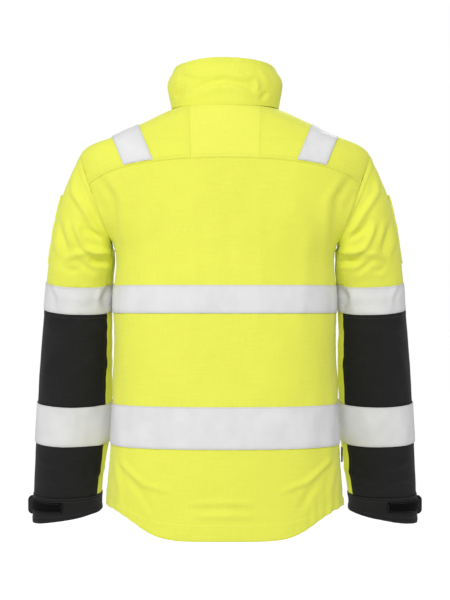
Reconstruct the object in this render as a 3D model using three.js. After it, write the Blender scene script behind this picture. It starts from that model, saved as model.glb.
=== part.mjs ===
// High-visibility protective work jacket, hanging as if it were worn, with its zip closed.
// Millimetres. +Z is up, the front faces -Y and the wearer's left is +X.
// The origin is the middle of the neck opening, level with the ends of the hang loop.
import * as THREE from 'three';
import * as BufferGeometryUtils from 'three/addons/utils/BufferGeometryUtils.js';

// ---------------------------------------------------------------- driving dimensions
const clothThickness = 2.6;
const sewingGap = 0.5;
const layerGap = 1.2;
const tapeThickness = 1.1;
const chestHalfWidth = 207;
const hemFlare = 15;
const hemHalfWidth = chestHalfWidth + hemFlare;
const shoulderReach = 65;
const shoulderHalfWidth = chestHalfWidth + shoulderReach;
const neckHalfWidth = 100;
const backLength = 780;
const sideLength = 729;
const frontLength = 760;
const backDepth = 134;
const frontLineAtHem = -150;
const frontLineLean = 0.08;
const underarmHeight = -256;
const shoulderTipHeight = -78;
const yokeSeamHeight = -90;
const collarHeight = 90;
const collarThickness = 4.5;
const narrowTape = 51;
const wideTape = 76;
const upperTapeTop = -320;
const lowerTapeTop = -539;
const zipHalfWidth = 5.6;
const zipMiddleGap = 0.6;
const sliderLength = 15;
const sliderWidth = 11;
const sliderThickness = 3.2;
const pullLength = 34;
const pullWidth = 7;
const pullThickness = 2;
const pocketDepth = 3.6;
const flapThickness = 2.4;
const badgeWidth = 62;
const badgeHeight = 42;
const badgeThickness = 2.4;
const cuffHeight = 57;
const cuffThickness = 4.2;
const cuffTabLength = 84;
const cuffTabHeight = 37;
const cuffTabThickness = 3;
const hangLoopWidth = 64;
const hangLoopDrop = 13;
const hangLoopRadius = 2.6;
const elbowFlexDegrees = 45;
const elbowHingeForward = 25;
const underSleeveFrom = 150;
const underSleeveTo = 210;

// ---------------------------------------------------------------- small helpers
const degrees = THREE.MathUtils.degToRad;
const lerp = THREE.MathUtils.lerp;
const clamp = THREE.MathUtils.clamp;

// A cosine or sine raised to a power below one squares an ellipse's corners.
function squared(value, sharpness) {
  return Math.sign(value) * Math.abs(value) ** (2 / sharpness);
}

// Smooth curve through evenly spaced stations; works on numbers.
function through(values, at) {
  const last = values.length - 1;
  const index = clamp(Math.floor(at), 0, last - 1);
  const f = at - index;
  const b = values[index];
  const c = values[index + 1];
  const a = index > 0 ? values[index - 1] : 2 * b - c;
  const d = index < last - 1 ? values[index + 2] : 2 * c - b;
  const slopes = (c - a) + (2 * a - 5 * b + 4 * c - d) * f + (3 * b - a - 3 * c + d) * f * f;
  return b + 0.5 * f * slopes;
}

// The value between low and high at which a rising function passes zero.
function rootOf(rising, low, high) {
  let below = low;
  let above = high;
  for (let step = 0; step < 26; step += 1) {
    const middle = (below + above) / 2;
    if (rising(middle) < 0) below = middle;
    else above = middle;
  }
  return (below + above) / 2;
}

// ---------------------------------------------------------------- body of the jacket
// Each station is one ring around the body, from hem to neck: its half width, the y of its
// back and front, the heights of its back, side and front, and how square its corners are. Its
// height falls from the side to the back with a power of its own, and settle flattens the middle.
const frontLine = (z) => frontLineAtHem + (z + frontLength) * frontLineLean;

function station(halfWidth, back, backZ, sideZ, frontZ, sharpness, droop, settle = 1) {
  return { halfWidth, back, backZ, sideZ, frontZ, sharpness, droop, settle };
}

const bodyStations = [
  station(hemHalfWidth, backDepth + 16, -backLength, -sideLength, -frontLength, 2.5, 5, 2.6),
  station(hemHalfWidth - 3, backDepth + 17, -692, -680, -686, 2.5, 1),
  station(chestHalfWidth + 6, backDepth + 15, -600, -600, -600, 2.5, 1),
  station(chestHalfWidth + 1, backDepth + 9, -450, -450, -450, 2.5, 1),
  station(chestHalfWidth, backDepth + 4, -350, -350, -350, 2.5, 1),
  station(chestHalfWidth - 1, backDepth, underarmHeight, underarmHeight, underarmHeight, 2.5, 1),
  station(chestHalfWidth + 36, backDepth - 3, -178, -200, -190, 2.5, 1),
  station(shoulderHalfWidth - 6, backDepth - 8, yokeSeamHeight, -160, -128, 2.5, 1),
  station(shoulderHalfWidth, 112, -50, shoulderTipHeight, -105, 2.3, 1),
  station(shoulderHalfWidth - 63, 99, -20, -37, -92, 2.2, 1.3),
  station(neckHalfWidth, 86, 10, 12, -75, 2.1, 2),
];
const hemStation = 0;
const underarmStation = 5;
const yokeStation = 7;
const shoulderStation = 8;
const neckStation = 10;

const collarStations = [
  station(neckHalfWidth, 86, 10, 12, -75, 2.1, 2),
  station(neckHalfWidth + 9, 80, 12 + collarHeight / 2, 12 + collarHeight / 2, -25, 2.1, 2),
  station(neckHalfWidth - 7, 70, 10 + collarHeight, collarHeight, 25, 2.2, 2),
];
const collarTop = 2;

// A point of a ring: angle 0 is the wearer's left side, 90 the middle of the back, -90 the front.
function ringPoint(stations, angle, at) {
  const field = (name) => through(stations.map((ring) => ring[name]), at);
  const sine = Math.sin(degrees(angle));
  const cosine = Math.cos(degrees(angle));
  const sharpness = field('sharpness');
  const endZ = sine >= 0 ? field('backZ') : field('frontZ');
  const sideZ = field('sideZ');
  const frontY = frontLine(field('frontZ'));
  const middleY = (field('back') + frontY) / 2;
  const halfDepth = (field('back') - frontY) / 2;
  const x = field('halfWidth') * squared(cosine, sharpness);
  const y = middleY + halfDepth * squared(sine, sharpness);
  const fall = 1 - (1 - Math.abs(sine) ** field('droop')) ** field('settle');
  const z = sideZ + (endZ - sideZ) * fall;
  return new THREE.Vector3(x, y, z);
}

const bodyPoint = (angle, at) => ringPoint(bodyStations, angle, at);
const collarPoint = (angle, at) => ringPoint(collarStations, angle, at);

// Moves a surface point along the surface's outward normal.
function offsetFrom(surface, first, second, distance, turn) {
  const angleStep = 0.5;
  const alongStep = 0.01;
  const alongFirst = surface(first + angleStep, second).sub(surface(first - angleStep, second));
  const alongSecond = surface(first, second + alongStep).sub(surface(first, second - alongStep));
  const normal = alongFirst.cross(alongSecond).normalize().multiplyScalar(turn);
  return surface(first, second).addScaledVector(normal, distance);
}

const bodyOffset = (angle, at, distance) => offsetFrom(bodyPoint, angle, at, distance, 1);
const collarOffset = (angle, at, distance) => offsetFrom(collarPoint, angle, at, distance, 1);

// The ring on which a given angle of the body has a given height.
function bodyAtHeight(angle, z) {
  return rootOf((at) => bodyPoint(angle, at).z - z, hemStation, neckStation);
}

// The front of the body at a given x and z, as an angle and a ring.
function frontAt(x, z) {
  let at = bodyAtHeight(-90, z);
  let angle = -90;
  for (let pass = 0; pass < 8; pass += 1) {
    const atNow = at;
    angle = rootOf((trial) => bodyPoint(trial, atNow).x - x, -90, 0);
    at = bodyAtHeight(angle, z);
  }
  return [angle, at];
}

// ---------------------------------------------------------------- armholes
// The armhole lies in one slanted plane, which the sleeve turns against.
const armholeTop = new THREE.Vector3(shoulderHalfWidth, 0, shoulderTipHeight);
const armholeBottom = new THREE.Vector3(chestHalfWidth - 1, 0, underarmHeight);
const armholeMiddle = armholeTop.clone().add(armholeBottom).multiplyScalar(0.5);
const armholeRise = armholeTop.clone().sub(armholeMiddle);
const armholeNormal = new THREE.Vector3(armholeRise.z, 0, -armholeRise.x).normalize();

// The angle at which a ring meets the armhole, on the back (side 1) or the front (side -1).
function armholeAngle(at, side) {
  const beyond = (angle) => bodyPoint(side * angle, at).sub(armholeMiddle).dot(armholeNormal);
  if (at <= underarmStation || at >= shoulderStation || beyond(0) <= 0) return 0;
  return side * rootOf((angle) => -beyond(angle), 0, 90);
}

// Half of the armhole's outline, from its top to the underarm, as pairs of height share and y.
function armholeOutline(side) {
  const outline = [];
  const steps = 30;
  for (let step = 0; step <= steps; step += 1) {
    const at = lerp(shoulderStation, underarmStation, step / steps);
    const point = bodyPoint(armholeAngle(at, side), at);
    const height = point.clone().sub(armholeMiddle).dot(armholeRise) / armholeRise.lengthSq();
    outline.push([height, point.y]);
  }
  return outline;
}

const armholeOutlines = { back: armholeOutline(1), front: armholeOutline(-1) };

// A point on the armhole's outline: angle 0 is the shoulder, 90 the back, 180 the underarm.
function armholePoint(angle) {
  const outline = Math.sin(degrees(angle)) >= 0 ? armholeOutlines.back : armholeOutlines.front;
  const height = clamp(Math.cos(degrees(angle)), outline.at(-1)[0], outline[0][0]);
  const index = clamp(outline.findIndex((pair) => pair[0] <= height), 1, outline.length - 1);
  const [above, below] = [outline[index - 1], outline[index]];
  const share = (above[0] - height) / (above[0] - below[0]);
  const y = lerp(above[1], below[1], share);
  return armholeMiddle.clone().addScaledVector(armholeRise, height).setY(y);
}

// ---------------------------------------------------------------- sleeves
// Stations down the wearer's left sleeve: the outer and inner edge of each ring, its middle's y
// and half its depth. The first ring is the armhole itself.
function sleeveStation(outerX, outerZ, innerX, innerZ, middleY, halfDepth) {
  return { outerX, outerZ, innerX, innerZ, middleY, halfDepth };
}

const sleeveStations = [
  null,
  sleeveStation(chestHalfWidth + 100, -152, chestHalfWidth + 1.5, -274, -4, 68),
  sleeveStation(chestHalfWidth + 121, -240, chestHalfWidth + 4, -296, -13, 66),
  sleeveStation(chestHalfWidth + 131, -312, chestHalfWidth + 6, -316, -22, 62),
  sleeveStation(chestHalfWidth + 136, -312 - narrowTape, chestHalfWidth + 8, -316 - narrowTape, -30, 60),
  sleeveStation(chestHalfWidth + 145, -455, chestHalfWidth + 9, -455, -44, 58),
  sleeveStation(chestHalfWidth + 152, -541, chestHalfWidth + 11, -541, -58, 56),
  sleeveStation(chestHalfWidth + 157, -541 - wideTape, chestHalfWidth + 17, -541 - wideTape, -70, 54),
  sleeveStation(chestHalfWidth + 163, -719, chestHalfWidth + 31, -717, -86, 48),
  sleeveStation(chestHalfWidth + 166, -719 - cuffHeight, chestHalfWidth + 32, -751, -94, 42),
];
const upperTapeStart = 3;
const elbowStation = 4;
const lowerTapeStart = 6;
const lowerTapeEnd = 7;
const cuffStart = 8;
const cuffEnd = 9;
const sleeveSharpness = 2.2;
const sleevePitch = degrees(9);

function sleeveRing(index, angle) {
  const ring = sleeveStations[index];
  if (ring === null) return armholePoint(angle);
  const across = squared(Math.cos(degrees(angle)), sleeveSharpness);
  const depth = ring.halfDepth * squared(Math.sin(degrees(angle)), sleeveSharpness);
  const x = lerp(ring.innerX, ring.outerX, (across + 1) / 2);
  const z = lerp(ring.innerZ, ring.outerZ, (across + 1) / 2);
  return new THREE.Vector3(x, ring.middleY + depth * Math.cos(sleevePitch), z - depth * Math.sin(sleevePitch));
}

function sleevePoint(angle, at) {
  const turned = ((angle % 360) + 360) % 360;
  const rings = sleeveStations.map((ring, index) => sleeveRing(index, turned));
  const along = (axis) => through(rings.map((point) => point[axis]), Math.max(at, 0));
  return new THREE.Vector3(along('x'), along('y'), along('z'));
}

const sleeveOffset = (angle, at, distance) => offsetFrom(sleevePoint, angle, at, distance, -1);

// ---------------------------------------------------------------- turning surfaces into solids
function outwards(geometry) {
  const bare = geometry.index ? geometry.toNonIndexed() : geometry;
  const place = bare.attributes.position;
  const corners = [new THREE.Vector3(), new THREE.Vector3(), new THREE.Vector3()];
  let volume = 0;
  for (let start = 0; start < place.count; start += 3) {
    corners.forEach((corner, index) => corner.fromBufferAttribute(place, start + index));
    volume += corners[0].dot(corners[1].clone().cross(corners[2])) / 6;
  }
  if (volume > 0) return geometry;
  const order = geometry.index.array;
  for (let start = 0; start < order.length; start += 3) {
    [order[start], order[start + 1]] = [order[start + 1], order[start]];
  }
  return geometry;
}

function welded(geometry) {
  geometry.deleteAttribute('normal');
  geometry.deleteAttribute('uv');
  const closed = BufferGeometryUtils.mergeVertices(geometry, 1e-3);
  const solid = outwards(closed);
  solid.computeVertexNormals();
  return solid;
}

// A sheet of cloth: place(across, along, layer) gives each point, with all three from 0 to 1.
function sheet(columns, rows, place) {
  const geometry = new THREE.BoxGeometry(1, 1, 1, columns, rows, 1);
  const vertices = geometry.attributes.position;
  for (let index = 0; index < vertices.count; index += 1) {
    const across = vertices.getX(index) + 0.5;
    const along = vertices.getY(index) + 0.5;
    const layer = vertices.getZ(index) + 0.5;
    const point = place(across, along, layer);
    vertices.setXYZ(index, point.x, point.y, point.z);
  }
  return welded(geometry);
}

// A closed band around a tube: place(angle, along, layer), with angle in degrees.
function loop(columns, rows, place) {
  const profile = [];
  for (let row = 0; row <= rows; row += 1) profile.push(new THREE.Vector2(2, row / rows));
  for (let row = rows; row >= 0; row -= 1) profile.push(new THREE.Vector2(1, row / rows));
  profile.push(new THREE.Vector2(2, 0));
  const geometry = new THREE.LatheGeometry(profile, columns);
  const vertices = geometry.attributes.position;
  for (let index = 0; index < vertices.count; index += 1) {
    const [x, along, z] = [vertices.getX(index), vertices.getY(index), vertices.getZ(index)];
    const angle = THREE.MathUtils.radToDeg(Math.atan2(x, z));
    const layer = Math.hypot(x, z) - 1;
    const point = place(Math.round(angle * 1000) / 1000, along, layer);
    vertices.setXYZ(index, point.x, point.y, point.z);
  }
  return welded(geometry);
}

// ---------------------------------------------------------------- materials
function cloth(color, roughness = 0.85) {
  return new THREE.MeshStandardMaterial({ color, roughness, metalness: 0 });
}

const yellow = cloth(0xf1f45c);
const black = cloth(0x282828);
const loopBlack = cloth(0x121212, 0.95);
const silver = cloth(0xe4e4e4, 0.5);
const lining = cloth(0x3a3d42, 0.9);
const zipBlack = cloth(0x1c1c1e, 0.6);
const plastic = cloth(0x2a2a2c, 0.4);

// ---------------------------------------------------------------- assembly
const group = new THREE.Group();

function add(name, geometry, material) {
  const mesh = new THREE.Mesh(geometry, material);
  mesh.name = name;
  group.add(mesh);
  return mesh;
}

// Mirrors a point to the wearer's right side when the sign is -1.
function onSide(point, sign) {
  return point.setX(point.x * sign);
}

const sides = [['left', 1], ['right', -1]];

// ---- front edge: the line on each side that the openable front meets the side panel along
const frontSeamTop = { x: chestHalfWidth - 95, z: -115 };
const frontSeamHem = { x: hemHalfWidth - 72, z: -750 };
const frontSeamNeck = { x: neckHalfWidth - 20, z: -44 };

function frontSeamX(z) {
  const low = (z - frontSeamTop.z) / (frontSeamHem.z - frontSeamTop.z);
  if (low > 0) return lerp(frontSeamTop.x, frontSeamHem.x, low);
  const high = (z - frontSeamTop.z) / (frontSeamNeck.z - frontSeamTop.z);
  return lerp(frontSeamTop.x, frontSeamNeck.x, high);
}

// The angle at which a ring crosses that line, or a copy of it moved sideways.
function frontSeamAngle(at, shift) {
  const past = (angle) => {
    const point = bodyPoint(angle, at);
    return point.x - frontSeamX(point.z) - shift;
  };
  return rootOf(past, -89, -1);
}

// The angle at which a ring has a given x on the front or on the back.
const frontAngle = (at, x) => rootOf((angle) => bodyPoint(angle, at).x - x, -90, 0);
const backAngle = (at, x) => rootOf((angle) => x - bodyPoint(angle, at).x, 0, 90);

// ---- back, yoke and side panels
const sideSeamAngle = 3;
const gapAngle = 0.15;
const ringGap = 0.008;
const yokeCenterBottomX = 62;
const yokeCenterTopX = 66;

function layerOffset(layer, outer, thickness) {
  return outer - thickness * (1 - layer);
}

function backEdge(at) {
  return Math.max(sideSeamAngle, armholeAngle(at, 1) + gapAngle);
}

add('back_panel', sheet(14, 11, (across, along, layer) => {
  const at = lerp(hemStation, yokeStation - ringGap, along);
  const edge = backEdge(at);
  const angle = lerp(edge, 180 - edge, across);
  const mirrored = angle > 90 ? -1 : 1;
  const folded = mirrored > 0 ? angle : 180 - angle;
  return onSide(bodyOffset(folded, at, layerOffset(layer, 0, clothThickness)), mirrored);
}), yellow);

add('yoke_center', sheet(4, 4, (across, along, layer) => {
  const at = lerp(yokeStation + ringGap, neckStation - ringGap, along);
  const half = lerp(yokeCenterBottomX, yokeCenterTopX, along) - sewingGap / 2;
  const x = lerp(half, -half, across);
  const angle = backAngle(at, Math.abs(x));
  return onSide(bodyOffset(angle, at, layerOffset(layer, 0, clothThickness)), Math.sign(x) || 1);
}), yellow);

function sideBandAngles(at) {
  return [frontSeamAngle(at, sewingGap), sideSeamAngle - gapAngle];
}

for (const [side, sign] of sides) {
  add(`yoke_${side}`, sheet(9, 9, (across, along, layer) => {
    const at = lerp(yokeStation + ringGap, neckStation - ringGap, along);
    const half = lerp(yokeCenterBottomX, yokeCenterTopX, along) + sewingGap / 2;
    const edge = Math.max(gapAngle, armholeAngle(at, 1) + gapAngle);
    const angle = lerp(backAngle(at, half), edge, across);
    return onSide(bodyOffset(angle, at, layerOffset(layer, 0, clothThickness)), sign);
  }), yellow);

  add(`front_shoulder_${side}`, sheet(8, 9, (across, along, layer) => {
    const at = lerp(yokeStation + ringGap, neckStation - ringGap, along);
    const edge = Math.min(-gapAngle, armholeAngle(at, -1) - gapAngle);
    const angle = lerp(edge, frontSeamAngle(at, sewingGap), across);
    return onSide(bodyOffset(angle, at, layerOffset(layer, 0, clothThickness)), sign);
  }), yellow);

  add(`side_panel_${side}`, sheet(6, 11, (across, along, layer) => {
    const at = lerp(hemStation, yokeStation - ringGap, along);
    const seam = sideBandAngles(at);
    const edge = at > underarmStation ? Math.min(seam[1], armholeAngle(at, -1) - gapAngle) : seam[1];
    const angle = lerp(seam[0], edge, across);
    return onSide(bodyOffset(angle, at, layerOffset(layer, 0, clothThickness)), sign);
  }), yellow);
}

// ---- reflective tapes sewn on the body
function bodyTape(name, top, width) {
  add(name, sheet(26, 2, (across, along, layer) => {
    const z = lerp(top - width, top, along);
    const seam = frontSeamAngle(bodyAtHeight(-40, z), sewingGap);
    const turned = lerp(seam, 180 - seam, across);
    const mirrored = turned > 90 ? -1 : 1;
    const angle = mirrored > 0 ? turned : 180 - turned;
    const at = bodyAtHeight(angle, z);
    return onSide(bodyOffset(angle, at, layerGap + tapeThickness * layer), mirrored);
  }), silver);
}

bodyTape('upper_body_tape', upperTapeTop, narrowTape);
bodyTape('lower_body_tape', lowerTapeTop, wideTape);

// The shoulder tape runs straight from the back yoke seam over the shoulder to the front one.
const tapeLowAt = yokeStation + 0.06;
const shoulderTapeGap = 2.2;
const tapeInnerX = { low: 131, ridge: 163 };
const tapeOuterX = { low: tapeInnerX.low + 53, ridge: tapeInnerX.ridge + 49 };

// The ring whose widest point has a given x, on the slope of the shoulder.
const shoulderRing = (x) => rootOf((at) => x - bodyPoint(0, at).x, shoulderStation, neckStation);

for (const [side, sign] of sides) {
  add(`shoulder_tape_${side}`, sheet(3, 16, (across, along, layer) => {
    const ridge = bodyPoint(0, shoulderRing(lerp(tapeOuterX.ridge, tapeInnerX.ridge, across)));
    const lowX = lerp(tapeOuterX.low, tapeInnerX.low, across);
    const lowAngle = along < 0.5 ? backAngle(tapeLowAt, lowX) : frontAngle(tapeLowAt, lowX);
    const low = bodyPoint(lowAngle, tapeLowAt);
    const angle = lowAngle * (1 - (1 - Math.abs(along - 0.5) * 2) ** 1.6);
    const inside = (at) => {
      const point = bodyPoint(angle, at);
      return (low.z - ridge.z) * (point.x - ridge.x) - (low.x - ridge.x) * (point.z - ridge.z);
    };
    const at = rootOf(inside, tapeLowAt, neckStation);
    return onSide(bodyOffset(angle, at, shoulderTapeGap + tapeThickness * layer), sign);
  }), silver);
}

// ---- fronts, zip and front tapes
const facing = { width: 56, thickness: 1.6, hemGap: 0.06, neckGap: 0.2 };
const frontTapeGap = 4;
const zipChain = { front: 1, thickness: 3.6, collarShare: 0.34, collarEnd: 0.97 };

for (const [side, sign] of sides) {
  add(`front_${side}`, sheet(6, 13, (across, along, layer) => {
    const at = lerp(hemStation, neckStation - ringGap, along);
    const seam = frontSeamAngle(at, 0);
    const angle = lerp(frontAngle(at, zipHalfWidth + layerGap), seam, across);
    return onSide(bodyOffset(angle, at, layerOffset(layer, 0, clothThickness)), sign);
  }), yellow);

  add(`front_facing_${side}`, sheet(2, 9, (across, along, layer) => {
    const at = lerp(hemStation + facing.hemGap, neckStation - facing.neckGap, along);
    const angle = frontAngle(at, zipHalfWidth + lerp(2, facing.width + 0.4, across));
    const inner = -clothThickness - layerGap;
    return onSide(bodyOffset(angle, at, layerOffset(layer, inner, facing.thickness)), sign);
  }), lining);

  const frontTape = (top, width) => sheet(5, 2, (across, along, layer) => {
    const z = lerp(top - width, top, along);
    const [angle, at] = frontAt(lerp(zipHalfWidth + frontTapeGap, frontSeamX(z) - sewingGap, across), z);
    return onSide(bodyOffset(angle, at, layerGap + tapeThickness * layer), sign);
  });
  add(`upper_front_tape_${side}`, frontTape(upperTapeTop, narrowTape), silver);
  add(`lower_front_tape_${side}`, frontTape(lowerTapeTop, wideTape), silver);

  const { collarShare } = zipChain;
  const along = (share, layer, across) => {
    const at = share < 1 - collarShare
      ? lerp(hemStation, neckStation, share / (1 - collarShare)) : 0;
    if (share < 1 - collarShare) {
      return bodyOffset(frontAngle(at, lerp(zipMiddleGap, zipHalfWidth, across)), at, layer);
    }
    const ring = ((share - 1 + collarShare) / collarShare) * collarTop * zipChain.collarEnd;
    const past = (angle) => collarPoint(angle, ring).x - lerp(zipMiddleGap, zipHalfWidth, across);
    return collarOffset(rootOf(past, -90, 0), ring, layer);
  };
  add(`zip_${side}`, sheet(1, 16, (across, share, layer) => (
    onSide(along(share, layerOffset(layer, zipChain.front, zipChain.thickness), across), sign)
  )), zipBlack);
}

// ---- collar
const collarSplitAngle = -40;
const collarSeamGap = 0.35;
const collarEndAngle = (at) => rootOf((angle) => collarPoint(angle, at).x - zipHalfWidth - layerGap, -90, 0);

add('collar_back', sheet(16, 4, (across, along, layer) => {
  const at = lerp(ringGap, collarTop, along);
  const turned = lerp(collarSplitAngle + collarSeamGap, 180 - collarSplitAngle - collarSeamGap, across);
  const mirrored = turned > 90 ? -1 : 1;
  const angle = mirrored > 0 ? turned : 180 - turned;
  return onSide(collarOffset(angle, at, layerOffset(layer, 0, collarThickness)), mirrored);
}), yellow);

for (const [side, sign] of sides) {
  add(`collar_front_${side}`, sheet(5, 4, (across, along, layer) => {
    const at = lerp(ringGap, collarTop, along);
    const angle = lerp(collarEndAngle(at), collarSplitAngle - collarSeamGap, across);
    return onSide(collarOffset(angle, at, layerOffset(layer, 0, collarThickness)), sign);
  }), yellow);
}

// ---- pockets on the fronts, each with a flap that lifts
const flapOverlap = { sides: 3, top: 8, gap: 0.8 };
const pockets = [
  { name: 'chest', innerX: 30, outerX: frontSeamTop.x - 4, bottom: -306, top: -196, flap: 42 },
  { name: 'lower', innerX: 30, outerX: frontSeamTop.x + 10, bottom: -526, top: -396, flap: 46 },
];

for (const [side, sign] of sides) {
  for (const pocket of pockets) {
    add(`${pocket.name}_pocket_${side}`, sheet(4, 3, (across, along, layer) => {
      const [angle, at] = frontAt(
        lerp(pocket.innerX, pocket.outerX, across),
        lerp(pocket.bottom, pocket.top, along),
      );
      return onSide(bodyOffset(angle, at, layerGap + pocketDepth * layer), sign);
    }), yellow);

    add(`${pocket.name}_flap_${side}`, sheet(4, 2, (across, along, layer) => {
      const [angle, at] = frontAt(
        lerp(pocket.innerX - flapOverlap.sides, pocket.outerX + flapOverlap.sides, across),
        pocket.top + flapOverlap.top - pocket.flap * (1 - along),
      );
      const inner = layerGap + pocketDepth + flapOverlap.gap;
      return onSide(bodyOffset(angle, at, inner + flapThickness * layer), sign);
    }), yellow);
  }
}

// ---- zip slider at the top of the closed zip, with its pull hanging from it
const frontLineTilt = Math.atan(frontLineLean);
const sliderTopZ = 2;
const sliderFront = 2;
const pullGap = 0.6;

const slider = add('zip_slider', welded(new THREE.BoxGeometry(sliderWidth, sliderThickness, sliderLength)), plastic);
slider.position.set(0, frontLine(sliderTopZ) - sliderFront - sliderThickness / 2, sliderTopZ);
slider.rotation.x = -frontLineTilt;

const pullShape = new THREE.Shape();
pullShape.absarc(0, 0, pullWidth / 2, 0, Math.PI, false);
pullShape.lineTo(-pullWidth / 2, -pullLength);
pullShape.absarc(0, -pullLength, pullWidth / 2, Math.PI, 2 * Math.PI, false);
const pullSolid = new THREE.ExtrudeGeometry(pullShape, {
  depth: pullThickness, bevelEnabled: false, curveSegments: 5,
});
const pull = add('zip_pull', welded(pullSolid), plastic);
pull.position.set(0, frontLine(sliderTopZ) - sliderFront - sliderThickness - pullGap, sliderTopZ + 1);
pull.rotation.x = Math.PI / 2 - frontLineTilt;

// ---- badge patch, a flat plate on the right chest to which a name holder or radio clips
const badgeCenter = { x: -74, z: -158 };
const [badgeAngle, badgeRing] = frontAt(-badgeCenter.x, badgeCenter.z);
const badgeSurface = onSide(bodyPoint(badgeAngle, badgeRing), -1);
const badgeStandOff = 6;
const badge = add('badge_patch', welded(new THREE.BoxGeometry(badgeWidth, badgeThickness, badgeHeight)), black);
badge.position.set(badgeCenter.x, badgeSurface.y - badgeStandOff, badgeCenter.z);
badge.rotation.x = -frontLineTilt;

// ---- hang loop inside the back of the neck, and the plain tag in the right side seam
const loopCurve = new THREE.CatmullRomCurve3([
  new THREE.Vector3(-hangLoopWidth / 2, 74, 2),
  new THREE.Vector3(-hangLoopWidth / 4, 70, 8),
  new THREE.Vector3(0, 68.5, hangLoopDrop),
  new THREE.Vector3(hangLoopWidth / 4, 70, 8),
  new THREE.Vector3(hangLoopWidth / 2, 74, 2),
]);
const loopSection = new THREE.Shape();
loopSection.absarc(0, 0, hangLoopRadius, 0, 2 * Math.PI, false);
add('hang_loop', welded(new THREE.ExtrudeGeometry(loopSection, {
  steps: 16, extrudePath: loopCurve, curveSegments: 8,
})), black);

const sideTag = { width: 3.2, length: 13, height: 28, z: -622 };
const tagAt = bodyAtHeight(0, sideTag.z - sideTag.height / 2);
const tag = add('side_tag', welded(new THREE.BoxGeometry(sideTag.width, sideTag.length, sideTag.height)), black);
tag.position.set(-bodyPoint(0, tagAt).x - 3.4, bodyPoint(0, tagAt).y + 14, sideTag.z - sideTag.height / 2);

// ---- sleeves
const sleeveGap = 0.012;
const armholeGap = 0.04;
const underarmGap = 0.5;
const sleeveTapeGap = 2;

// The pocket on the outer sleeve, towards its front, stands open at its upper edge.
const sleevePocket = { frontAngle: -74, backAngle: 0, mouthAt: 0.98, bottomAt: 2.5, gape: 2.4 };
const sleeveSeamAngle = 1.2;
const cuffTab = { z: -750, sewnWidth: 66, standOff: 4.5 };
const loopStrip = { frontAngle: 10, backAngle: 86, top: 0.12, bottom: 0.52, standOff: 0.8 };

// How far the lower sleeve's front is cut back, so that it can fold forward at the elbow.
function elbowCut(angle) {
  const ring = sleeveStations[elbowStation];
  const forward = -ring.halfDepth * squared(Math.sin(degrees(angle)), sleeveSharpness) - elbowHingeForward;
  const stationLength = ring.outerZ - sleeveStations[elbowStation + 1].outerZ;
  const cut = Math.max(0, forward) * Math.tan(degrees(elbowFlexDegrees + 3));
  return elbowStation + 2 * sleeveGap + cut / stationLength;
}

for (const [side, sign] of sides) {
  const strip = (columns, rows, fromAngle, toAngle, fromAt, toAt, outer, thickness) => (
    sheet(columns, rows, (across, along, layer) => {
      const angle = lerp(fromAngle, toAngle, across);
      const start = typeof fromAt === 'function' ? fromAt(angle) : fromAt;
      const at = lerp(start, toAt, along);
      return onSide(sleeveOffset(angle, at, layerOffset(layer, outer, thickness)), sign);
    })
  );
  const outerFrom = underSleeveTo - 360 + sleeveSeamAngle;
  const outerTo = underSleeveFrom - sleeveSeamAngle;

  add(`upper_sleeve_${side}`, strip(12, 6, outerFrom, outerTo, armholeGap, upperTapeStart, 0, clothThickness), yellow);
  add(`upper_undersleeve_${side}`,
    strip(4, 4, underSleeveFrom, underSleeveTo, underarmGap, upperTapeStart, 0, clothThickness), yellow);
  add(`upper_sleeve_tape_${side}`, loop(16, 1, (angle, along, layer) => {
    const at = lerp(upperTapeStart + sleeveGap, elbowStation - sleeveGap, along);
    return onSide(sleeveOffset(angle, at, layerOffset(layer, tapeThickness, clothThickness)), sign);
  }), silver);
  add(`lower_sleeve_${side}`,
    strip(12, 8, outerFrom, outerTo, elbowCut, cuffStart - sleeveGap, 0, clothThickness), black);
  add(`lower_undersleeve_${side}`,
    strip(4, 6, underSleeveFrom, underSleeveTo, elbowCut, cuffStart - sleeveGap, 0, clothThickness), yellow);
  add(`lower_sleeve_tape_${side}`, loop(16, 1, (angle, along, layer) => {
    const at = lerp(lowerTapeStart, lowerTapeEnd, along);
    return onSide(sleeveOffset(angle, at, sleeveTapeGap + tapeThickness * layer), sign);
  }), silver);
  add(`cuff_${side}`, loop(16, 2, (angle, along, layer) => {
    const at = lerp(cuffStart, cuffEnd, along);
    return onSide(sleeveOffset(angle, at, layerOffset(layer, 0.8, cuffThickness)), sign);
  }), black);
  add(`cuff_loop_strip_${side}`, sheet(6, 1, (across, along, layer) => {
    const angle = lerp(loopStrip.frontAngle, loopStrip.backAngle, across);
    const at = cuffStart + lerp(loopStrip.top, loopStrip.bottom, along);
    return onSide(sleeveOffset(angle, at, loopStrip.standOff + layerGap + layer), sign);
  }), loopBlack);

  add(`sleeve_pocket_${side}`, sheet(5, 4, (across, along, layer) => {
    const angle = lerp(sleevePocket.frontAngle, sleevePocket.backAngle, across);
    const at = lerp(sleevePocket.mouthAt, sleevePocket.bottomAt, along);
    const gape = sleevePocket.gape * (1 - along) ** 1.6;
    return onSide(sleeveOffset(angle, at, layerGap + gape + clothThickness * layer), sign);
  }), yellow);

  // The cuff tab is sewn to the front of the cuff, and its free end stands out past the side.
  const cuffRing = sleeveStations[cuffStart];
  const tabStartX = cuffRing.outerX - cuffTab.sewnWidth;
  const tabY = cuffRing.middleY - cuffRing.halfDepth - cuffTab.standOff;
  const tabSolid = add(`cuff_tab_${side}`,
    welded(new THREE.BoxGeometry(cuffTabLength, cuffTabThickness, cuffTabHeight)), black);
  tabSolid.position.set(sign * (tabStartX + cuffTabLength / 2), tabY, cuffTab.z);
}

export default group;
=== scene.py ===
"""High-visibility work jacket: its cloth, tapes, stitching and fittings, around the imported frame.

Lengths are in millimetres, as in the CAD source, and become metres when a mesh is made.
"""

import math

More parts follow.
